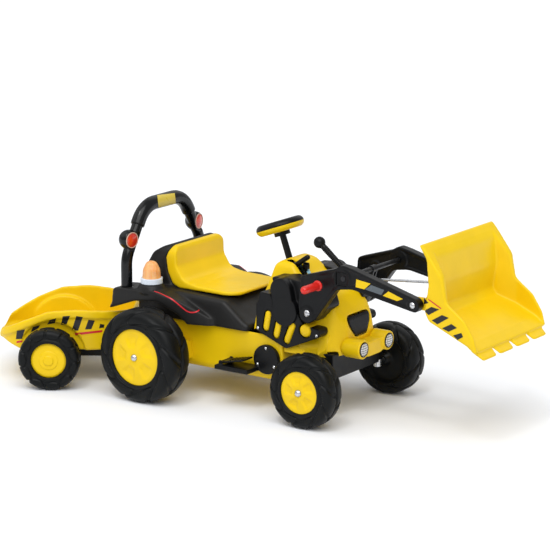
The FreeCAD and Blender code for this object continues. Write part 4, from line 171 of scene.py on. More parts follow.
# Steps of the profile are pairs: along the radius, then along the axle
LIP_STEPS = ((0.0, 4.0), (0.8, 1.8), (2.4, 1.0), (5.0, 1.2))
LIP_END = (3.0, 1.8)
SEAT_PLAY = 0.4
SEAT_DEPTH_SHARE = 0.17
WALL_START = 1.2
WALL_SINK = 0.6
LUG_LIFT_SHARE = 0.042
SWEEP_EASE = 1.6
GROOVE_HALF = 0.03
LUG_TIP_REACH = 4.5
LUG_TIP_EDGE = 0.25
MIDDLE_GROOVE = (0.92, 0.06)
MIDDLE_GROOVE_SHARE = 0.8
BACK_DEPTH = 20.0
DISH_EDGES = ((2.0, 0.0), (4.0, 2.0))
DISH_FOOT = (6.0, 3.0)
DISH_FLOOR = 10.0
BACK_BOSS = 15.0
BOSS_FOOT = (8.0, 3.0)
BOSS_EDGE = (2.0, 2.0)
AXLE_HOLE = 6.2
HOLE_SINK = 1.0
SHOULDER_POWER = 3.8
ROUND_STEPS = 360
SKIN_STEPS = 50
SWEPT = (0.05, 0.12)
PADDLE = (0.07, 0.07)
# Name, body, side, width, hub radius, lugs, their sweep in lug pitches, and their edges
WHEELS = (
    ("rear_right", "rear_right_wheel", -1, 94.0, 77.0, 9, 1.10, SWEPT),
    ("rear_left", "rear_left_wheel", 1, 94.0, 77.0, 9, 1.10, SWEPT),
    ("front_right", "front_right_wheel", -1, 72.0, 56.0, 9, 1.00, SWEPT),
    ("front_left", "front_left_wheel", 1, 72.0, 56.0, 9, 1.00, SWEPT),
    ("trailer_right", "trailer_right_wheel", -1, 60.0, 48.0, 11, 0.12, PADDLE),
    ("trailer_left", "trailer_left_wheel", 1, 60.0, 48.0, 11, 0.12, PADDLE),
)


def varied(tree, noise, socket, low, high):
    """Feeds a number that follows the noise between two values into a socket."""
    spread = tree.nodes.new("ShaderNodeMapRange")
    spread.inputs["From Min"].default_value = NOISE_LOW
    spread.inputs["From Max"].default_value = NOISE_HIGH
    spread.inputs["To Min"].default_value = low
    spread.inputs["To Max"].default_value = high
    tree.links.new(noise.outputs["Fac"], spread.inputs["Value"])
    tree.links.new(spread.outputs["Result"], socket)


def pitted(tree, shader, noise, strength, depth):
    """Turns the noise into a fine relief of the surface."""
    bump = tree.nodes.new("ShaderNodeBump")
    bump.inputs["Strength"].default_value = strength
    bump.inputs["Distance"].default_value = depth * MM
    tree.links.new(noise.outputs["Fac"], bump.inputs["Height"])
    tree.links.new(bump.outputs["Normal"], shader.inputs["Normal"])


def moulded(name, colour, rough, grain_size, relief, shine=0.5):
    """Moulded plastic: a faint cloud in the colour, uneven gloss and a fine mould grain."""
    material, tree, shader = new_material(name)
    dark, light = (scaled(colour, share) for share in CLOUD_SHARES)
    tinted(tree, grain(tree, scale=14, detail=3).outputs["Fac"], dark, light, shader.inputs["Base Color"])
    varied(tree, grain(tree, scale=45, detail=4), shader.inputs["Roughness"],
           low=rough - GLOSS_SPREAD[0], high=rough + GLOSS_SPREAD[1])
    mould_grain = grain(tree, scale=1 / (grain_size * MM), detail=2)
    pitted(tree, shader, mould_grain, strength=relief, depth=GRAIN_DEPTH)
    shader.inputs["Specular IOR Level"].default_value = shine
    return material


def smooth_step(value):
    """An eased step from nought to one."""
    value = max(0.0, min(1.0, value))
    return value * value * (3 - 2 * value)


def mesh_piece(name, points, faces, material, body):
    """A new mesh in the row frame that rides on a body."""
    mesh = bpy.data.meshes.new(name)
    mesh.from_pydata(points, [], faces)
    mesh.materials.append(material)
    mesh.polygons.foreach_set("use_smooth", [True] * len(mesh.polygons))
    mesh.update()
    piece = bpy.data.objects.new(name, mesh)
    scene.collection.objects.link(piece)
    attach(piece, body)
    return piece


def ring_faces(rounds, steps):
    """Quads between neighbouring rings of a turned skin."""
    faces = []
    for i in range(steps - 1):
        for j in range(rounds):
            k = (j + 1) % rounds
            faces.append((i * rounds + j, i * rounds + k, (i + 1) * rounds + k, (i + 1) * rounds + j))
    return faces


def wheel_place(body, node, side, width):
    """A place in millimetres with the axle as Y, inwards from the outer face, and the node's radius."""
    joint = next(j for j in frame["joints"] if j["child"] == body)
    axis = Vector(joint["axis"]) * -side
    low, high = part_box(node)
    radius = (high.z - low.z) / 2 / MM
    mid = (low + high) / 2
    pivot = Vector(joint["pos_m"])
    along = axis * (mid - pivot).dot(axis)
    face = pivot + along - axis * (width / 2 * MM)
    up = Vector((0, 0, 1))
    ahead = axis.cross(up)
    turn = Matrix((ahead, axis, up)).transposed().to_4x4()
    return Matrix.Translation(face) @ turn @ Matrix.Scale(MM, 4), radius


def lug_height(angle, share, lugs, sweep, edges):
    """Height of the lugs: share runs from their inner ends on the side wall to the tread middle."""
    turns = angle * lugs / (2 * math.pi) + sweep * (1 - (1 - share) ** SWEEP_EASE)
    phase = turns % 1.0
    steep, gentle = edges
    bevel = smooth_step((phase - GROOVE_HALF) / steep) * smooth_step((1 - GROOVE_HALF - phase) / gentle)
    off = abs(phase * 2 - 1)
    inner_end = smooth_step((math.sqrt(max(0.0, share * LUG_TIP_REACH)) - off) / LUG_TIP_EDGE)
    start, run = MIDDLE_GROOVE
    middle_groove = 1 - MIDDLE_GROOVE_SHARE * smooth_step((share - start) / run)
    return bevel * inner_end * middle_groove


def tyre_rings(radius, width, hub_radius):
    """Radius, depth, share of the lug's run and side of the tread for each ring of the skin."""
    lift = radius * LUG_LIFT_SHARE
    tread = radius - lift
    seat = hub_radius + SEAT_PLAY
    side = hub_radius + RIM_LIP
    wall = lift + WALL_SINK
    lip = [(seat, width * SEAT_DEPTH_SHARE)]
    lip += [(seat + out, deep) for out, deep in LIP_STEPS]
    lip += [(side - LIP_END[0], LIP_END[1]), (side - WALL_START, wall)]
    rings = [(r, y, 0, 0) for r, y in lip]
    for i in range(SKIN_STEPS + 1):
        lean = math.pi * i / SKIN_STEPS
        c, s = math.cos(lean), math.sin(lean)
        grow = (abs(c) ** SHOULDER_POWER + s ** SHOULDER_POWER) ** (-1 / SHOULDER_POWER)
        share = 1 - abs(1 - 2 * i / SKIN_STEPS)
        half_side = 1 if i * 2 <= SKIN_STEPS else -1
        r = side + (tread - side) * s * grow
        rings.append((r, width / 2 - (width / 2 - wall) * c * grow, share, half_side))
    back = width - BACK_DEPTH
    dish = [(side - inwards, width - wall - deep) for inwards, deep in DISH_EDGES]
    dish += [(side - DISH_FOOT[0], back + DISH_FOOT[1]), (side - DISH_FLOOR, back)]
    dish += [(BACK_BOSS + BOSS_FOOT[0], back), (BACK_BOSS, back + BOSS_FOOT[1])]
    dish += [(BACK_BOSS - BOSS_EDGE[0], width - BOSS_EDGE[1]), (AXLE_HOLE, width - HOLE_SINK)]
    rings += [(r, y, 0, 0) for r, y in dish]
    return rings, lift


def tyre_skin(radius, width, hub_radius, lugs, sweep, edges):
    """The rings as points, with the lugs raised square to the skin."""
    rings, lift = tyre_rings(radius, width, hub_radius)
    points = []
    for i, (r, y, share, half_side) in enumerate(rings):
        before = rings[max(i - 1, 0)]
        after = rings[min(i + 1, len(rings) - 1)]
        run = Vector((after[0] - before[0], after[1] - before[1])).normalized()
        for j in range(ROUND_STEPS):
            angle = 2 * math.pi * j / ROUND_STEPS
            rise = 0.0
            if half_side:
                turn = angle if half_side > 0 else angle + math.pi / lugs
                rise = lift * lug_height(turn, share, lugs, sweep, edges)
            reach = r + run.y * rise
            depth = y - run.x * rise
            points.append((reach * math.cos(angle), depth, reach * math.sin(angle)))
    return points, ring_faces(ROUND_STEPS, len(rings))


tyre_plastic = moulded("tyre_plastic", TYRE_COLOUR, rough=0.40, grain_size=1.1, relief=0.10, shine=0.18)
for name, body, side, width, hub_radius, lugs, sweep, edges in WHEELS:
    place, radius = wheel_place(body, name + "_tyre", side, width)
    points, faces = tyre_skin(radius, width, hub_radius, lugs, sweep, edges)
    tyre = mesh_piece(name + "_tyre_skin", [place @ Vector(p) for p in points], faces, tyre_plastic, body)
    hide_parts(name + "_tyre")

# Hubs: yellow plastic discs snapped into the tyres, with five soft petals moulded into the kind
# that has a nut. The trailer's hubs are plain stepped domes with no nut.
YELLOW = (0.83, 0.555, 0.004, 1)
PETALS = 5
PETAL_INNER = 0.30
PETAL_OUTER = 0.88
PETAL_HALF = 0.72
PETAL_DEPTH = 3.8
PETAL_TWIST = 0.14
PETAL_RAMPS = (0.22, 0.20)
PETAL_EDGE = 0.42
HUB_DISH_SHARES = (0.12, 0.30)
HUB_RINGS = 48
HUB_ROUND = 180
CAP_CLEAR = 6.2
DOME_STEPS = ((0.0, 1.0), (0.24, 1.6), (0.32, 4.6), (0.50, 5.0), (0.57, 7.0), (0.88, 7.4), (1.0, 9.0))


def hub_depth(share, angle, depth, domed):
    """How far the disc lies behind the tyre's outer face."""
    if domed:
        for (u0, d0), (u1, d1) in zip(DOME_STEPS, DOME_STEPS[1:]):
            if share <= u1:
                return d0 + (d1 - d0) * smooth_step((share - u0) / (u1 - u0))
        return DOME_STEPS[-1][1]
    start, fall = HUB_DISH_SHARES
    base = depth * (start + fall * smooth_step((share - PETAL_INNER) / (1 - PETAL_INNER)))
    turns = angle * PETALS / (2 * math.pi) + PETAL_TWIST * share
    off = abs(turns % 1.0 * 2 - 1)
    rise, close = PETAL_RAMPS
    ring = smooth_step((share - PETAL_INNER) / rise) * smooth_step((PETAL_OUTER - share) / close)
    petal = ring * smooth_step((PETAL_HALF - off) / PETAL_EDGE)
    return base + PETAL_DEPTH * petal


yellow_plastic = moulded("yellow_plastic", YELLOW, rough=0.34, grain_size=0.9, relief=0.05, shine=0.24)
for name, body, side, width, hub_radius, *_ in WHEELS:
    place, _ = wheel_place(body, name + "_tyre", side, width)
    domed = name.startswith("trailer")
    depth = width * SEAT_DEPTH_SHARE
    inner = 0.0 if domed else CAP_CLEAR
    points = []
    for i in range(HUB_RINGS + 1):
        r = inner + (hub_radius - inner) * i / HUB_RINGS
        for j in range(HUB_ROUND):
            angle = 2 * math.pi * j / HUB_ROUND
            y = hub_depth(r / hub_radius, angle, depth, domed)
            points.append((r * math.cos(angle), y, r * math.sin(angle)))
    for j in range(HUB_ROUND):
        angle = 2 * math.pi * j / HUB_ROUND
        points.append((hub_radius * math.cos(angle), depth, hub_radius * math.sin(angle)))
    faces = ring_faces(HUB_ROUND, HUB_RINGS + 2)
    hub = mesh_piece(name + "_hub_disc", [place @ Vector(p) for p in points], faces, yellow_plastic, body)
    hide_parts(name + "_hub")

# Bright steel: axles, knuckles, linkage rods, bolts, screws, and the motor with its pinion.
# All are zinc plated, and the plate is a little cloudy and uneven in its gloss.
STEEL = (0.66, 0.67, 0.69, 1)
STEEL_CLOUD_SHARE = 0.82
STEEL_NODES = (
    "rear_axle", "right_knuckle", "left_knuckle", "tie_rod", "steering_shaft", "tilt_rod",
    "loader_bolts", "trailer_axle", "body_screws", "gear_motor", "motor_pinion",
)


def dress(node, material):
    """Gives a CAD node its finish."""
    piece = frame["nodes"][node]
    piece.data.materials.clear()
    piece.data.materials.append(material)
    return piece


steel, steel_tree, steel_shader = new_material("zinc_plate")
tinted(steel_tree, grain(steel_tree, scale=60, detail=4).outputs["Fac"],
       scaled(STEEL, STEEL_CLOUD_SHARE), STEEL, steel_shader.inputs["Base Color"])
varied(steel_tree, grain(steel_tree, scale=220, detail=3), steel_shader.inputs["Roughness"],
       low=0.16, high=0.32)
pitted(steel_tree, steel_shader, grain(steel_tree, scale=900, detail=2), strength=0.05, depth=0.1)
steel_shader.inputs["Metallic"].default_value = 1.0
for node in STEEL_NODES:
    dress(node, steel)

# Lower chassis: a deep yellow tub that carries everything, with the black axle beam under the hood.
# Both are thick plastic mouldings with soft edges. The gearbox housing, the charge socket and the
# hitch bracket are fixed to the tub.
BLACK = (0.0042, 0.0046, 0.0052, 1)


def soften(node, material, voxel, passes):
    """A moulding's rounded edges: an even skin over the CAD solid, then relaxed."""
    piece = dress(node, material)
    even = piece.modifiers.new("even_skin", "REMESH")
    even.mode = "VOXEL"
    even.voxel_size = voxel * MM
    even.use_smooth_shade = True
    relax = piece.modifiers.new("soft_edges", "SMOOTH")
    relax.factor = 0.5
    relax.iterations = passes


black_plastic = moulded("black_plastic", BLACK, rough=0.34, grain_size=0.8, relief=0.10, shine=0.20)
soften("lower_chassis", yellow_plastic, voxel=2.5, passes=12)
soften("front_axle_beam", black_plastic, voxel=2.0, passes=6)
dress("gearbox_housing", yellow_plastic)
for node in ("charge_socket", "hitch_bracket"):
    dress(node, black_plastic)

# Rear shell: one black plastic moulding of saddle, fenders and seat back, set on the chassis.
# A thin red line is printed along each flank.
SHELL_BLACK = (0.012, 0.0118, 0.0115, 1)
LINE_RED = (0.62, 0.012, 0.02, 1)
LINE_PIXELS = (
    (154.3, 291.4), (159.5, 293.2), (165.5, 296.0), (172.0, 299.3), (179.3, 305.0), (186.5, 310.8),
    (191.5, 312.4), (196.5, 311.8), (199.2, 310.0),
)
LINE_STEPS = 5
LINE_WIDTH = 3.6
PRINT_LIFT = 0.6
NEAREST_TRIES = 4
camera_right = Vector((0, 0, 1)).cross(camera_back).normalized()
camera_up = camera_back.cross(camera_right)
MIDDLE = at(0, 0, 0)
LEFTWARD = Vector((0, 1, 0))


def skin_of(node):
    """The finished surface of a CAD node, to lay prints on."""
    return BVHTree.FromObject(frame["nodes"][node], bpy.context.evaluated_depsgraph_get())


def seen_along(px, py):
    """The direction from the camera through a pixel of the photograph."""
    across = (px - PHOTO_SIZE / 2) / PHOTO_FOCAL
    down = (py - PHOTO_SIZE / 2) / PHOTO_FOCAL
    return (camera_right * across - camera_up * down - camera_back).normalized()


def seen_on(tree, px, py):
    """The point of a surface that the photograph shows at a pixel, and its normal.
    Where the sight line just misses the surface, the nearest point is taken."""
    along = seen_along(px, py)
    spot, normal = tree.ray_cast(camera_at, along)[:2]
    if spot is None:
        spot, normal = tree.find_nearest(camera_at)[:2]
        for _ in range(NEAREST_TRIES):
            beside = camera_at + along * (spot - camera_at).dot(along)
            spot, normal = tree.find_nearest(beside)[:2]
    return spot, normal


def mirrored_on(tree, spot, centre, across):
    """The point of a surface on the other side of a middle plane, and its normal."""
    other = spot - across * (2 * (spot - centre).dot(across))
    return tree.find_nearest(other)[:2]


def ribbon(name, spots, width, material, body):
    """A flat printed line through points with normals."""
    points = []
    for i, (spot, normal) in enumerate(spots):
        ahead = spots[min(i + 1, len(spots) - 1)][0] - spots[max(i - 1, 0)][0]
        across = ahead.cross(normal).normalized() * (width * MM / 2)
        lifted = spot + normal * (PRINT_LIFT * MM)
        points += [lifted - across, lifted + across]
    faces = [(2 * i, 2 * i + 1, 2 * i + 3, 2 * i + 2) for i in range(len(spots) - 1)]
    return mesh_piece(name, points, faces, material, body)


def eased(pixels, steps):
    """A smooth run of pixels through a few chosen ones."""
    run = []
    count = len(pixels)
    for i in range(count - 1):
        a, b = pixels[max(i - 1, 0)], pixels[i]
        c, d = pixels[i + 1], pixels[min(i + 2, count - 1)]
        for k in range(steps):
            t = k / steps
            run.append(tuple(
                0.5 * (2 * q + (r - p) * t + (2 * p - 5 * q + 4 * r - s) * t * t
                       + (3 * q - p - 3 * r + s) * t ** 3)
                for p, q, r, s in zip(a, b, c, d)
            ))
    run.append(pixels[-1])
    return run


shell_black = moulded("shell_black", SHELL_BLACK, rough=0.42, grain_size=0.7, relief=0.16, shine=0.25)
soften("rear_shell", shell_black, voxel=2.5, passes=24)
red_print = moulded("red_print", LINE_RED, rough=0.35, grain_size=0.6, relief=0.03)
shell_skin = skin_of("rear_shell")
right_line = [seen_on(shell_skin, px, py) for px, py in eased(LINE_PIXELS, LINE_STEPS)]
left_line = [mirrored_on(shell_skin, spot, MIDDLE, LEFTWARD) for spot, _ in right_line]
for name, spots in (("right_flank_line", right_line), ("left_flank_line", left_line)):
    line = ribbon(name, spots, LINE_WIDTH, red_print, "chassis")

# Seat: one bent yellow panel clipped into the black shell.
# It is a plain moulding with no cushion, so it only needs soft edges.
soften("seat_pan", yellow_plastic, voxel=2.2, passes=16)

# Roll bar: two glossy black plastic legs with ball lamp housings, stuck into the rear shell, and a
# thicker sleeve over the top. A thin copper-toned ring holds each red lens, and a bare yellow
# sticker lies on the sleeve.
BAR_BLACK = (0.0022, 0.0028, 0.0032, 1)
LENS_DEEP = (0.60, 0.022, 0.006, 1)
LENS_BRIGHT = (0.74, 0.05, 0.012, 1)
RING_COPPER = (0.62, 0.40, 0.30, 1)
STICKER_YELLOW = (0.62, 0.47, 0.05, 1)
LAMP_CENTRE = (-129.0, -148.6, 408.9)
LAMP_FACE = 14.9
LAMP_TURN = 9.0
LAMP_RING_RADIUS = 20.6
LAMP_RING_TUBE = 1.5
RING_ROUND = 72
RING_STEPS = 12
STICKER_PIXELS = ((157.2, 195.2), (174.6, 193.2), (175.8, 203.2), (158.4, 207.6))
STICKER_STEPS = 10


def torus_ring(name, centre, axis, radius, tube, material, body):
    """A round wire ring about an axis, in millimetres about a place in the row frame."""
    turn = axis.to_track_quat("Z", "Y").to_matrix()
    points = []
    for i in range(RING_STEPS):
        lean = 2 * math.pi * i / RING_STEPS
        reach = radius + tube * math.cos(lean)
        for j in range(RING_ROUND):
            angle = 2 * math.pi * j / RING_ROUND
            local = Vector((reach * math.cos(angle), reach * math.sin(angle), tube * math.sin(lean)))
            points.append(centre + turn @ (local * MM))
    faces = ring_faces(RING_ROUND, RING_STEPS)
    last = (RING_STEPS - 1) * RING_ROUND
    faces += [(last + j, last + (j + 1) % RING_ROUND, (j + 1) % RING_ROUND, j) for j in range(RING_ROUND)]
    return mesh_piece(name, points, faces, material, body)


def sheet_over(name, spots, material, body):
    """A thin print through as many rows as columns of points with normals."""
    points = [spot + normal * (PRINT_LIFT * MM) for spot, normal in spots]
    row = math.isqrt(len(spots))
    faces = []
    for i in range(row - 1):
        for j in range(row - 1):
            k = i * row + j
            faces.append((k, k + 1, k + row + 1, k + row))
    a, b, c = points[0], points[1], points[row]
    if (b - a).cross(c - a).dot(spots[0][1]) < 0:
        faces = [tuple(reversed(face)) for face in faces]
    return mesh_piece(name, points, faces, material, body)


def patch_spots(tree, corners, steps):
    """Points and normals of a surface under a four-cornered patch of the photograph."""
    spots = []
    for i in range(steps + 1):
        u = i / steps
        for j in range(steps + 1):
            v = j / steps
            weights = ((1 - u) * (1 - v), (1 - u) * v, u * v, u * (1 - v))
            px = sum(w * corner[0] for w, corner in zip(weights, corners))
            py = sum(w * corner[1] for w, corner in zip(weights, corners))
            spots.append(seen_on(tree, px, py))
    return spots


bar_black = moulded("bar_black", BAR_BLACK, rough=0.20, grain_size=0.9, relief=0.04, shine=0.34)
soften("roll_bar_legs", bar_black, voxel=1.6, passes=6)
soften("roll_bar_top", bar_black, voxel=1.6, passes=5)
red_lens, lens_tree, lens_shader = new_material("red_lens")
tinted(lens_tree, grain(lens_tree, scale=40, detail=2).outputs["Fac"], LENS_DEEP, LENS_BRIGHT,
       lens_shader.inputs["Base Color"])
varied(lens_tree, grain(lens_tree, scale=150, detail=2), lens_shader.inputs["Roughness"],
       low=0.10, high=0.18)
lens_shader.inputs["Coat Weight"].default_value = 0.6
dress("lamp_lenses", red_lens)
lamp_ring = moulded("lamp_ring", RING_COPPER, rough=0.3, grain_size=0.6, relief=0.04)
for name, side in (("right_lamp_ring", 1), ("left_lamp_ring", -1)):
    turn = math.radians(LAMP_TURN)
    ahead = Vector((math.cos(turn), -math.sin(turn) * side, 0))
    centre = at(LAMP_CENTRE[0], LAMP_CENTRE[1] * side, LAMP_CENTRE[2]) + ahead * (LAMP_FACE * MM)
    ring = torus_ring(name, centre, ahead, LAMP_RING_RADIUS, LAMP_RING_TUBE, lamp_ring, "chassis")
sticker_yellow = moulded("sticker_yellow", STICKER_YELLOW, rough=0.3, grain_size=0.5, relief=0.03)
sticker_spots = patch_spots(skin_of("roll_bar_top"), STICKER_PIXELS, STICKER_STEPS)
sticker = sheet_over("roll_bar_sticker", sticker_spots, sticker_yellow, "chassis")

# Beacon: an egg-shaped dome of milky amber plastic, on a pale ring that sits on a plinth of the
# right fender. Its paler streaks are painted highlights: the light on fine ribs, painted into the colour.
PALE = (0.70, 0.77, 0.85, 1)
AMBER = (0.80, 0.30, 0.05, 1)
# painted highlight: the colour of the dome's pale streaks, standing in for light on its ribs
AMBER_PAINTED_GLINT = (0.88, 0.50, 0.22, 1)
pale_plastic = moulded("pale_plastic", PALE, rough=0.30, grain_size=0.9, relief=0.04)
soften("beacon_base", pale_plastic, voxel=1.2, passes=3)
amber_lens, amber_tree, amber_shader = new_material("amber_lens")
# painted highlights: stretched noise lays pale vertical streaks into the dome's colour
painted_rib_glints = grain(amber_tree, scale=160, detail=2, stretch=(1, 1, 0.12))
tinted(amber_tree, painted_rib_glints.outputs["Fac"], AMBER, AMBER_PAINTED_GLINT,
       amber_shader.inputs["Base Color"], low=0.2, high=0.75)
varied(amber_tree, grain(amber_tree, scale=90, detail=2), amber_shader.inputs["Roughness"],
       low=0.25, high=0.38)
amber_shader.inputs["Subsurface Weight"].default_value = 0.35
amber_shader.inputs["Subsurface Radius"].default_value = (0.02, 0.008, 0.002)
dress("beacon_dome", amber_lens)

# Hood: a yellow plastic moulding with a dash cowl at its back and a round crest, set on the chassis.
# Its skirt closes the flank under the engine panels, and a plain pale blue gauge sticker lies on
# the right slope of the cowl.
GAUGE_BLUE = (0.32, 0.60, 0.74, 1)
GAUGE_PIXELS = ((294.6, 262.1), (307.5, 264.5), (311.8, 276.0), (304.5, 276.5))
GAUGE_STEPS = 8
SKIRT_RUN = (408.0, 496.0)
SKIRT_FOOT = (166.0, 129.8)
SKIRT_HEAD = (224.0, 111.6)
SKIRT_TAPER = 0.00143
SKIRT_SHOULDER = 400.0
SKIRT_WALL = 2.6
SKIRT_STEPS = 12
soften("hood", yellow_plastic, voxel=3.0, passes=40)
gauge_blue = moulded("gauge_blue", GAUGE_BLUE, rough=0.3, grain_size=0.5, relief=0.03)
gauge_spots = patch_spots(skin_of("hood"), GAUGE_PIXELS, GAUGE_STEPS)
gauge = sheet_over("gauge_sticker", gauge_spots, gauge_blue, "chassis")
for name, side in (("right_hood_skirt", -1), ("left_hood_skirt", 1)):
    points = []
    for z, half_width in (SKIRT_FOOT, SKIRT_HEAD):
        for i in range(SKIRT_STEPS + 1):
            x = SKIRT_RUN[0] + (SKIRT_RUN[1] - SKIRT_RUN[0]) * i / SKIRT_STEPS
            points.append(at(x, side * half_width * (1 - SKIRT_TAPER * (x - SKIRT_SHOULDER)), z))
    row = SKIRT_STEPS + 1
    faces = [(i, i + 1, row + i + 1, row + i) for i in range(SKIRT_STEPS)]
    if side > 0:
        faces = [tuple(reversed(face)) for face in faces]
    skirt = mesh_piece(name, points, faces, yellow_plastic, "chassis")
    wall = skirt.modifiers.new("wall", "SOLIDIFY")
    wall.thickness = SKIRT_WALL * MM

# Nose trim: a glossy black grille skin let into the hood, a yellow bumper block and two headlights.
# The clear plastic lenses are fluted in squares and sit in thin black rings.
GRILLE_BLACK = (0.0025, 0.0025, 0.003, 1)
FLUTE_DARK = (0.08, 0.085, 0.09, 1)
FLUTE_LIGHT = (0.78, 0.79, 0.80, 1)
HEADLIGHT_SPOT = (580.0, 60.0, 189.0)
HEADLIGHT_RING_RADIUS = 18.4
HEADLIGHT_RING_TUBE = 1.6
FLUTE_SCALE = 52.0
grille_black = moulded("grille_black", GRILLE_BLACK, rough=0.30, grain_size=1.2, relief=0.03, shine=0.2)
soften("front_grille", grille_black, voxel=1.6, passes=10)
soften("front_bumper", yellow_plastic, voxel=2.0, passes=14)
clear_lens, clear_tree, clear_shader = new_material("clear_lens")
flutes = []
for direction in ("Y", "Z"):
    spot = clear_tree.nodes.new("ShaderNodeTexCoord")
    wave = clear_tree.nodes.new("ShaderNodeTexWave")
    wave.bands_direction = direction
    wave.inputs["Scale"].default_value = FLUTE_SCALE
    wave.inputs["Distortion"].default_value = 0.0
    clear_tree.links.new(spot.outputs["Object"], wave.inputs["Vector"])
    flutes.append(wave)
lattice = clear_tree.nodes.new("ShaderNodeMath")
lattice.operation = "MINIMUM"
for wave, socket in zip(flutes, lattice.inputs):
    clear_tree.links.new(wave.outputs["Fac"], socket)
tinted(clear_tree, lattice.outputs["Value"], FLUTE_DARK, FLUTE_LIGHT,
       clear_shader.inputs["Base Color"], low=0.05, high=0.35)
varied(clear_tree, grain(clear_tree, scale=120, detail=2), clear_shader.inputs["Roughness"],
       low=0.08, high=0.16)
clear_shader.inputs["Coat Weight"].default_value = 0.5
dress("headlight_lenses", clear_lens)
for name, side in (("right_headlight_ring", -1), ("left_headlight_ring", 1)):
    centre = at(HEADLIGHT_SPOT[0], HEADLIGHT_SPOT[1] * side, HEADLIGHT_SPOT[2])
    ring = torus_ring(
        name, centre, Vector((1, 0, 0)), HEADLIGHT_RING_RADIUS, HEADLIGHT_RING_TUBE,
        black_plastic, "chassis",
    )

# Engine panels and loader towers: black plastic plates screwed to the hood's flanks, and the posts on
# the flanks that carry the arms. The yellow of the hood shows through the slots and the round window
# of the panels.
soften("engine_panels", black_plastic, voxel=1.6, passes=8)
soften("loader_towers", black_plastic, voxel=1.8, passes=16)

# Footrests: black plastic ledges with round covers, screwed to the chassis, and the pedal hinged on
# the right one. Low ridges on the pedal and on the left ledge give them grip.
PEDAL_LEAN = 12.0
PEDAL_RIDGES = (26.0, 36.0, 46.0, 56.0, 66.0)
PEDAL_SKIN = 2.5
REST_RIDGES = (206.0, 222.0, 238.0, 254.0, 270.0, 286.0)
REST_TOP = 118.0
REST_MIDDLE = 161.0
RIDGE_HALF_LENGTH = 17.0
RIDGE_HALF_WIDTH = 2.2
RIDGE_RISE = 1.6
RIDGE_STEPS = 8


def joint_place(name):
    """Where a joint's axis lies in the row frame."""
    return Vector(next(j for j in frame["joints"] if j["name"] == name)["pos_m"])


def ridge(name, spots, ahead, up, material, body):
    """Low rounded bars across the toy, standing on a sloping or level face."""
    points, faces = [], []
    for spot in spots:
        first = len(points)
        for end in (-1, 1):
            for i in range(RIDGE_STEPS + 1):
                lean = math.pi * i / RIDGE_STEPS
                along = ahead * (-math.cos(lean) * RIDGE_HALF_WIDTH)
                rise = up * (math.sin(lean) * RIDGE_RISE)
                across = LEFTWARD * (end * (RIDGE_HALF_LENGTH - RIDGE_RISE * math.sin(lean)))
                points.append(spot + (along + rise + across) * MM)
        other = first + RIDGE_STEPS + 1
        faces += [(first + i, first + i + 1, other + i + 1, other + i) for i in range(RIDGE_STEPS)]
        faces += [tuple(range(first, other)), tuple(range(other, len(points)))]
    piece = mesh_piece(name, points, faces, material, body)


soften("footrests", black_plastic, voxel=1.8, passes=5)
soften("accelerator_pedal", black_plastic, voxel=1.2, passes=3)
hinge = joint_place("pedal_press")
lean = math.radians(PEDAL_LEAN)
slope = Vector((math.cos(lean), 0, math.sin(lean)))
square = Vector((-math.sin(lean), 0, math.cos(lean)))
pedal_spots = [hinge + (slope * run + square * PEDAL_SKIN) * MM for run in PEDAL_RIDGES]
ridge("pedal_ridges", pedal_spots, slope, square, black_plastic, "pedal")
rest_spots = [at(x, REST_MIDDLE, REST_TOP) for x in REST_RIDGES]
ridge("left_rest_ridges", rest_spots, Vector((1, 0, 0)), Vector((0, 0, 1)), black_plastic, "chassis")

# Steering wheel: a plastic rim of two half rings, black over yellow, on a black hub and column.
# The horn button in the hub is red.
RED = (0.66, 0.02, 0.014, 1)
soften("steering_rim_upper", black_plastic, voxel=1.2, passes=3)
soften("steering_rim_lower", yellow_plastic, voxel=1.2, passes=3)
soften("steering_hub", black_plastic, voxel=1.4, passes=4)
dress("column_sleeve", black_plastic)
red_plastic = moulded("red_plastic", RED, rough=0.3, grain_size=0.8, relief=0.04)
soften("horn_button", red_plastic, voxel=1.0, passes=2)

# Dash controls: a bent black lever in a slot of the cowl, and a key knob.
# Both are small solid plastic mouldings that turn in the cowl.
soften("gear_lever", black_plastic, voxel=1.2, passes=3)
soften("ignition_key", black_plastic, voxel=1.0, passes=2)

# Loader arms: two black hollow plastic bars with a raised rim, on bolts through the towers. Yellow
# patches are printed on the front halves, with a grey sheen between them painted on as colour, and a
# red grip on the right arm lifts both.
# painted sheen: a grey colour for the light reflected on the black arm between the yellow patches
PAINTED_SHEEN_GREY = (0.085, 0.105, 0.12, 1)
ARM_PATCHES = (
    ("rear", ((356.4, 279.3), (370.7, 283.6), (364.3, 289.3), (355.7, 287.1))),
    ("front", ((388.6, 291.4), (402.9, 299.0), (397.1, 301.0), (382.9, 295.7))),
)
ARM_PAINTED_SHEEN = ((371.4, 285.0), (384.3, 290.0), (381.4, 295.0), (365.0, 289.3))
ARM_SHEET_STEPS = 6
soften("right_loader_arm", black_plastic, voxel=1.6, passes=10)
soften("left_loader_arm", black_plastic, voxel=1.6, passes=10)
soften("lift_handle", red_plastic, voxel=1.2, passes=4)
painted_sheen_grey = moulded("painted_sheen_grey", PAINTED_SHEEN_GREY, rough=0.25, grain_size=0.6, relief=0.03)
arm_skin = skin_of("right_loader_arm")
far_arm_skin = skin_of("left_loader_arm")
arm_prints_and_sheen = [(name, corners, yellow_plastic, "yellow_plastic") for name, corners in ARM_PATCHES]
# the grey sheet is painted sheen, not a print: the arm there is plain black plastic
arm_prints_and_sheen.append(("painted_sheen", ARM_PAINTED_SHEEN, painted_sheen_grey, "black_plastic"))
for name, corners, material, slot in arm_prints_and_sheen:
    near = patch_spots(arm_skin, corners, ARM_SHEET_STEPS)
    far = [mirrored_on(far_arm_skin, spot, MIDDLE, LEFTWARD) for spot, _ in near]
    for side, spots in (("right", near), ("left", far)):
        laid_sheet = sheet_over(side + "_arm_" + name, spots, material, "loader")

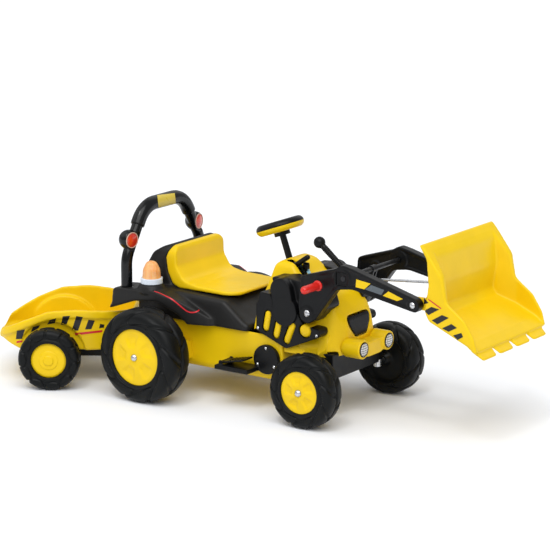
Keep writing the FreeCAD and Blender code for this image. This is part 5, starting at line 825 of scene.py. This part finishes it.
# Tilt linkage: the black plastic hand lever at the elbow, with a ribbed sleeve below its ball.
# It is fixed on a cross shaft of dark oiled steel, whose crank moves the rod to the bucket.
DARK_STEEL = (0.020, 0.021, 0.023, 1)
DARK_STEEL_CLOUD = (0.035, 0.036, 0.039, 1)
LEVER_LEAN = 141.5
SLEEVE_RUN = (26.0, 106.0)
SLEEVE_FOOT = 7.6
SLEEVE_HEAD = 9.2
RIB_RISE = 0.7
RIB_PITCH = 5.0
RIB_STEPS = 160
RIB_ROUND = 36
SLEEVE_CLOSE = 30
SLEEVE_END_SHARE = 0.8
soften("tilt_lever", black_plastic, voxel=1.4, passes=4)
dark_steel, dark_tree, dark_shader = new_material("dark_steel")
tinted(dark_tree, grain(dark_tree, scale=50, detail=3).outputs["Fac"], DARK_STEEL, DARK_STEEL_CLOUD,
       dark_shader.inputs["Base Color"])
varied(dark_tree, grain(dark_tree, scale=200, detail=3), dark_shader.inputs["Roughness"],
       low=0.34, high=0.48)
dark_shader.inputs["Metallic"].default_value = 0.6
dress("elbow_shaft", dark_steel)
elbow = joint_place("tilt_lever_turn")
lever_low, lever_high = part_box("tilt_lever")
lever_foot = Vector((elbow.x, (lever_low.y + lever_high.y) / 2, elbow.z))
lean = math.radians(LEVER_LEAN)
run = Vector((math.cos(lean), 0, math.sin(lean)))
square = Vector((-math.sin(lean), 0, math.cos(lean)))
points = []
for i in range(RIB_STEPS + 1):
    share = i / RIB_STEPS
    along = SLEEVE_RUN[0] + (SLEEVE_RUN[1] - SLEEVE_RUN[0]) * share
    wave = RIB_RISE * math.cos(2 * math.pi * along / RIB_PITCH)
    close = smooth_step(share * SLEEVE_CLOSE) * smooth_step((1 - share) * SLEEVE_CLOSE)
    ribbed = SLEEVE_FOOT + (SLEEVE_HEAD - SLEEVE_FOOT) * share + wave - RIB_RISE
    reach = ribbed * close + SLEEVE_FOOT * SLEEVE_END_SHARE * (1 - close)
    for j in range(RIB_ROUND):
        angle = 2 * math.pi * j / RIB_ROUND
        off = LEFTWARD * (reach * math.cos(angle)) + square * (reach * math.sin(angle))
        points.append(lever_foot + (run * along + off) * MM)
faces = ring_faces(RIB_ROUND, RIB_STEPS + 1)
sleeve = mesh_piece("lever_sleeve", points, faces, black_plastic, "tilt")

# Bucket: a thick yellow plastic scoop with black slanted marks and a red line on its cheeks.
# It is one blow moulding hung on two bolts at the front ends of the arms.
MARK_BLACK = (0.010, 0.010, 0.011, 1)
MARK_STEPS = 10
CHEEK_MARKS = (
    ((424.0, 297.6), (428.6, 302.9), (426.4, 303.6), (424.2, 304.2)),
    ((431.4, 306.9), (439.3, 309.4), (428.6, 315.0), (424.3, 310.7)),
    ((442.1, 315.0), (448.9, 317.9), (437.4, 324.3), (431.9, 320.3)),
    ((451.4, 324.0), (457.1, 327.9), (448.6, 331.7), (442.1, 328.3)),
    ((461.4, 332.9), (463.1, 336.9), (457.6, 340.0), (453.1, 335.4)),
)
CHEEK_LINE = ((424.2, 296.2), (430.0, 300.4), (436.0, 304.8), (441.2, 308.6))
CHEEK_LINE_STEPS = 4
CHEEK_LINE_WIDTH = 3.0
soften("bucket", yellow_plastic, voxel=2.5, passes=12)
mark_black = moulded("mark_black", MARK_BLACK, rough=0.35, grain_size=0.6, relief=0.03, shine=0.4)
bucket_skin = skin_of("bucket")
for i, corners in enumerate(CHEEK_MARKS):
    near = patch_spots(bucket_skin, corners, MARK_STEPS)
    far = [mirrored_on(bucket_skin, spot, MIDDLE, LEFTWARD) for spot, _ in near]
    for side, spots in (("right", near), ("left", far)):
        mark = sheet_over("%s_cheek_mark_%d" % (side, i), spots, mark_black, "scoop")
near = [seen_on(bucket_skin, px, py) for px, py in eased(CHEEK_LINE, CHEEK_LINE_STEPS)]
far = [mirrored_on(bucket_skin, spot, MIDDLE, LEFTWARD) for spot, _ in near]
for side, spots in (("right", near), ("left", far)):
    line = ribbon(side + "_cheek_line", spots, CHEEK_LINE_WIDTH, red_print, "scoop")

# Trailer: a yellow plastic tub on a black drawbar, with black slanted marks and red lines on its sides.
# The tub is one blow moulding fixed on the bar, whose eye sits on the hitch pin.
TRAILER_YAW = 32.0
TUB_MARKS = (
    ((16.9, 330.6), (25.0, 329.4), (21.9, 338.8), (16.0, 339.0)),
    ((32.8, 326.9), (40.0, 325.0), (38.5, 328.1), (30.6, 332.5)),
    ((49.4, 320.0), (56.3, 318.1), (54.8, 323.1), (47.3, 324.4)),
    ((62.8, 316.3), (70.0, 315.8), (66.3, 325.0), (60.9, 324.5)),
    ((76.3, 316.0), (82.8, 317.0), (78.1, 330.6), (71.9, 330.0)),
    ((88.5, 319.6), (94.8, 320.6), (91.3, 329.0), (85.0, 329.4)),
    ((100.0, 323.8), (104.4, 324.6), (103.8, 327.5), (99.0, 328.3)),
)
TUB_LINES = (
    ((16.9, 341.0), (22.5, 340.3), (22.3, 341.9), (16.5, 343.1)),
    ((74.4, 333.1), (102.5, 330.0), (101.9, 332.1), (75.6, 335.3)),
)
soften("trailer_tub", yellow_plastic, voxel=2.6, passes=12)
soften("trailer_drawbar", black_plastic, voxel=2.0, passes=6)
hitch = joint_place("hitch_yaw")
yaw = math.radians(TRAILER_YAW)
tub_across = Vector((-math.sin(yaw), math.cos(yaw), 0))
tub_skin = skin_of("trailer_tub")
tub_prints = [("mark_%d" % i, c, mark_black, "black_plastic") for i, c in enumerate(TUB_MARKS)]
tub_prints += [("line_%d" % i, c, red_print, "red_plastic") for i, c in enumerate(TUB_LINES)]
for name, corners, material, slot in tub_prints:
    near = patch_spots(tub_skin, corners, MARK_STEPS)
    far = [mirrored_on(tub_skin, spot, hitch, tub_across) for spot, _ in near]
    for side, spots in (("right", near), ("left", far)):
        laid_sheet = sheet_over("%s_tub_%s" % (side, name), spots, material, "trailer")

# Drive parts out of sight: the battery in its moulded plastic case on the chassis floor, and the
# nylon gear fixed to the right rear wheel.
BATTERY_GREY = (0.05, 0.05, 0.055, 1)
NYLON = (0.72, 0.70, 0.62, 1)
battery_grey = moulded("battery_grey", BATTERY_GREY, rough=0.5, grain_size=0.8, relief=0.1)
dress("battery", battery_grey)
nylon = moulded("nylon", NYLON, rough=0.45, grain_size=0.7, relief=0.08)
dress("drive_gear", nylon)
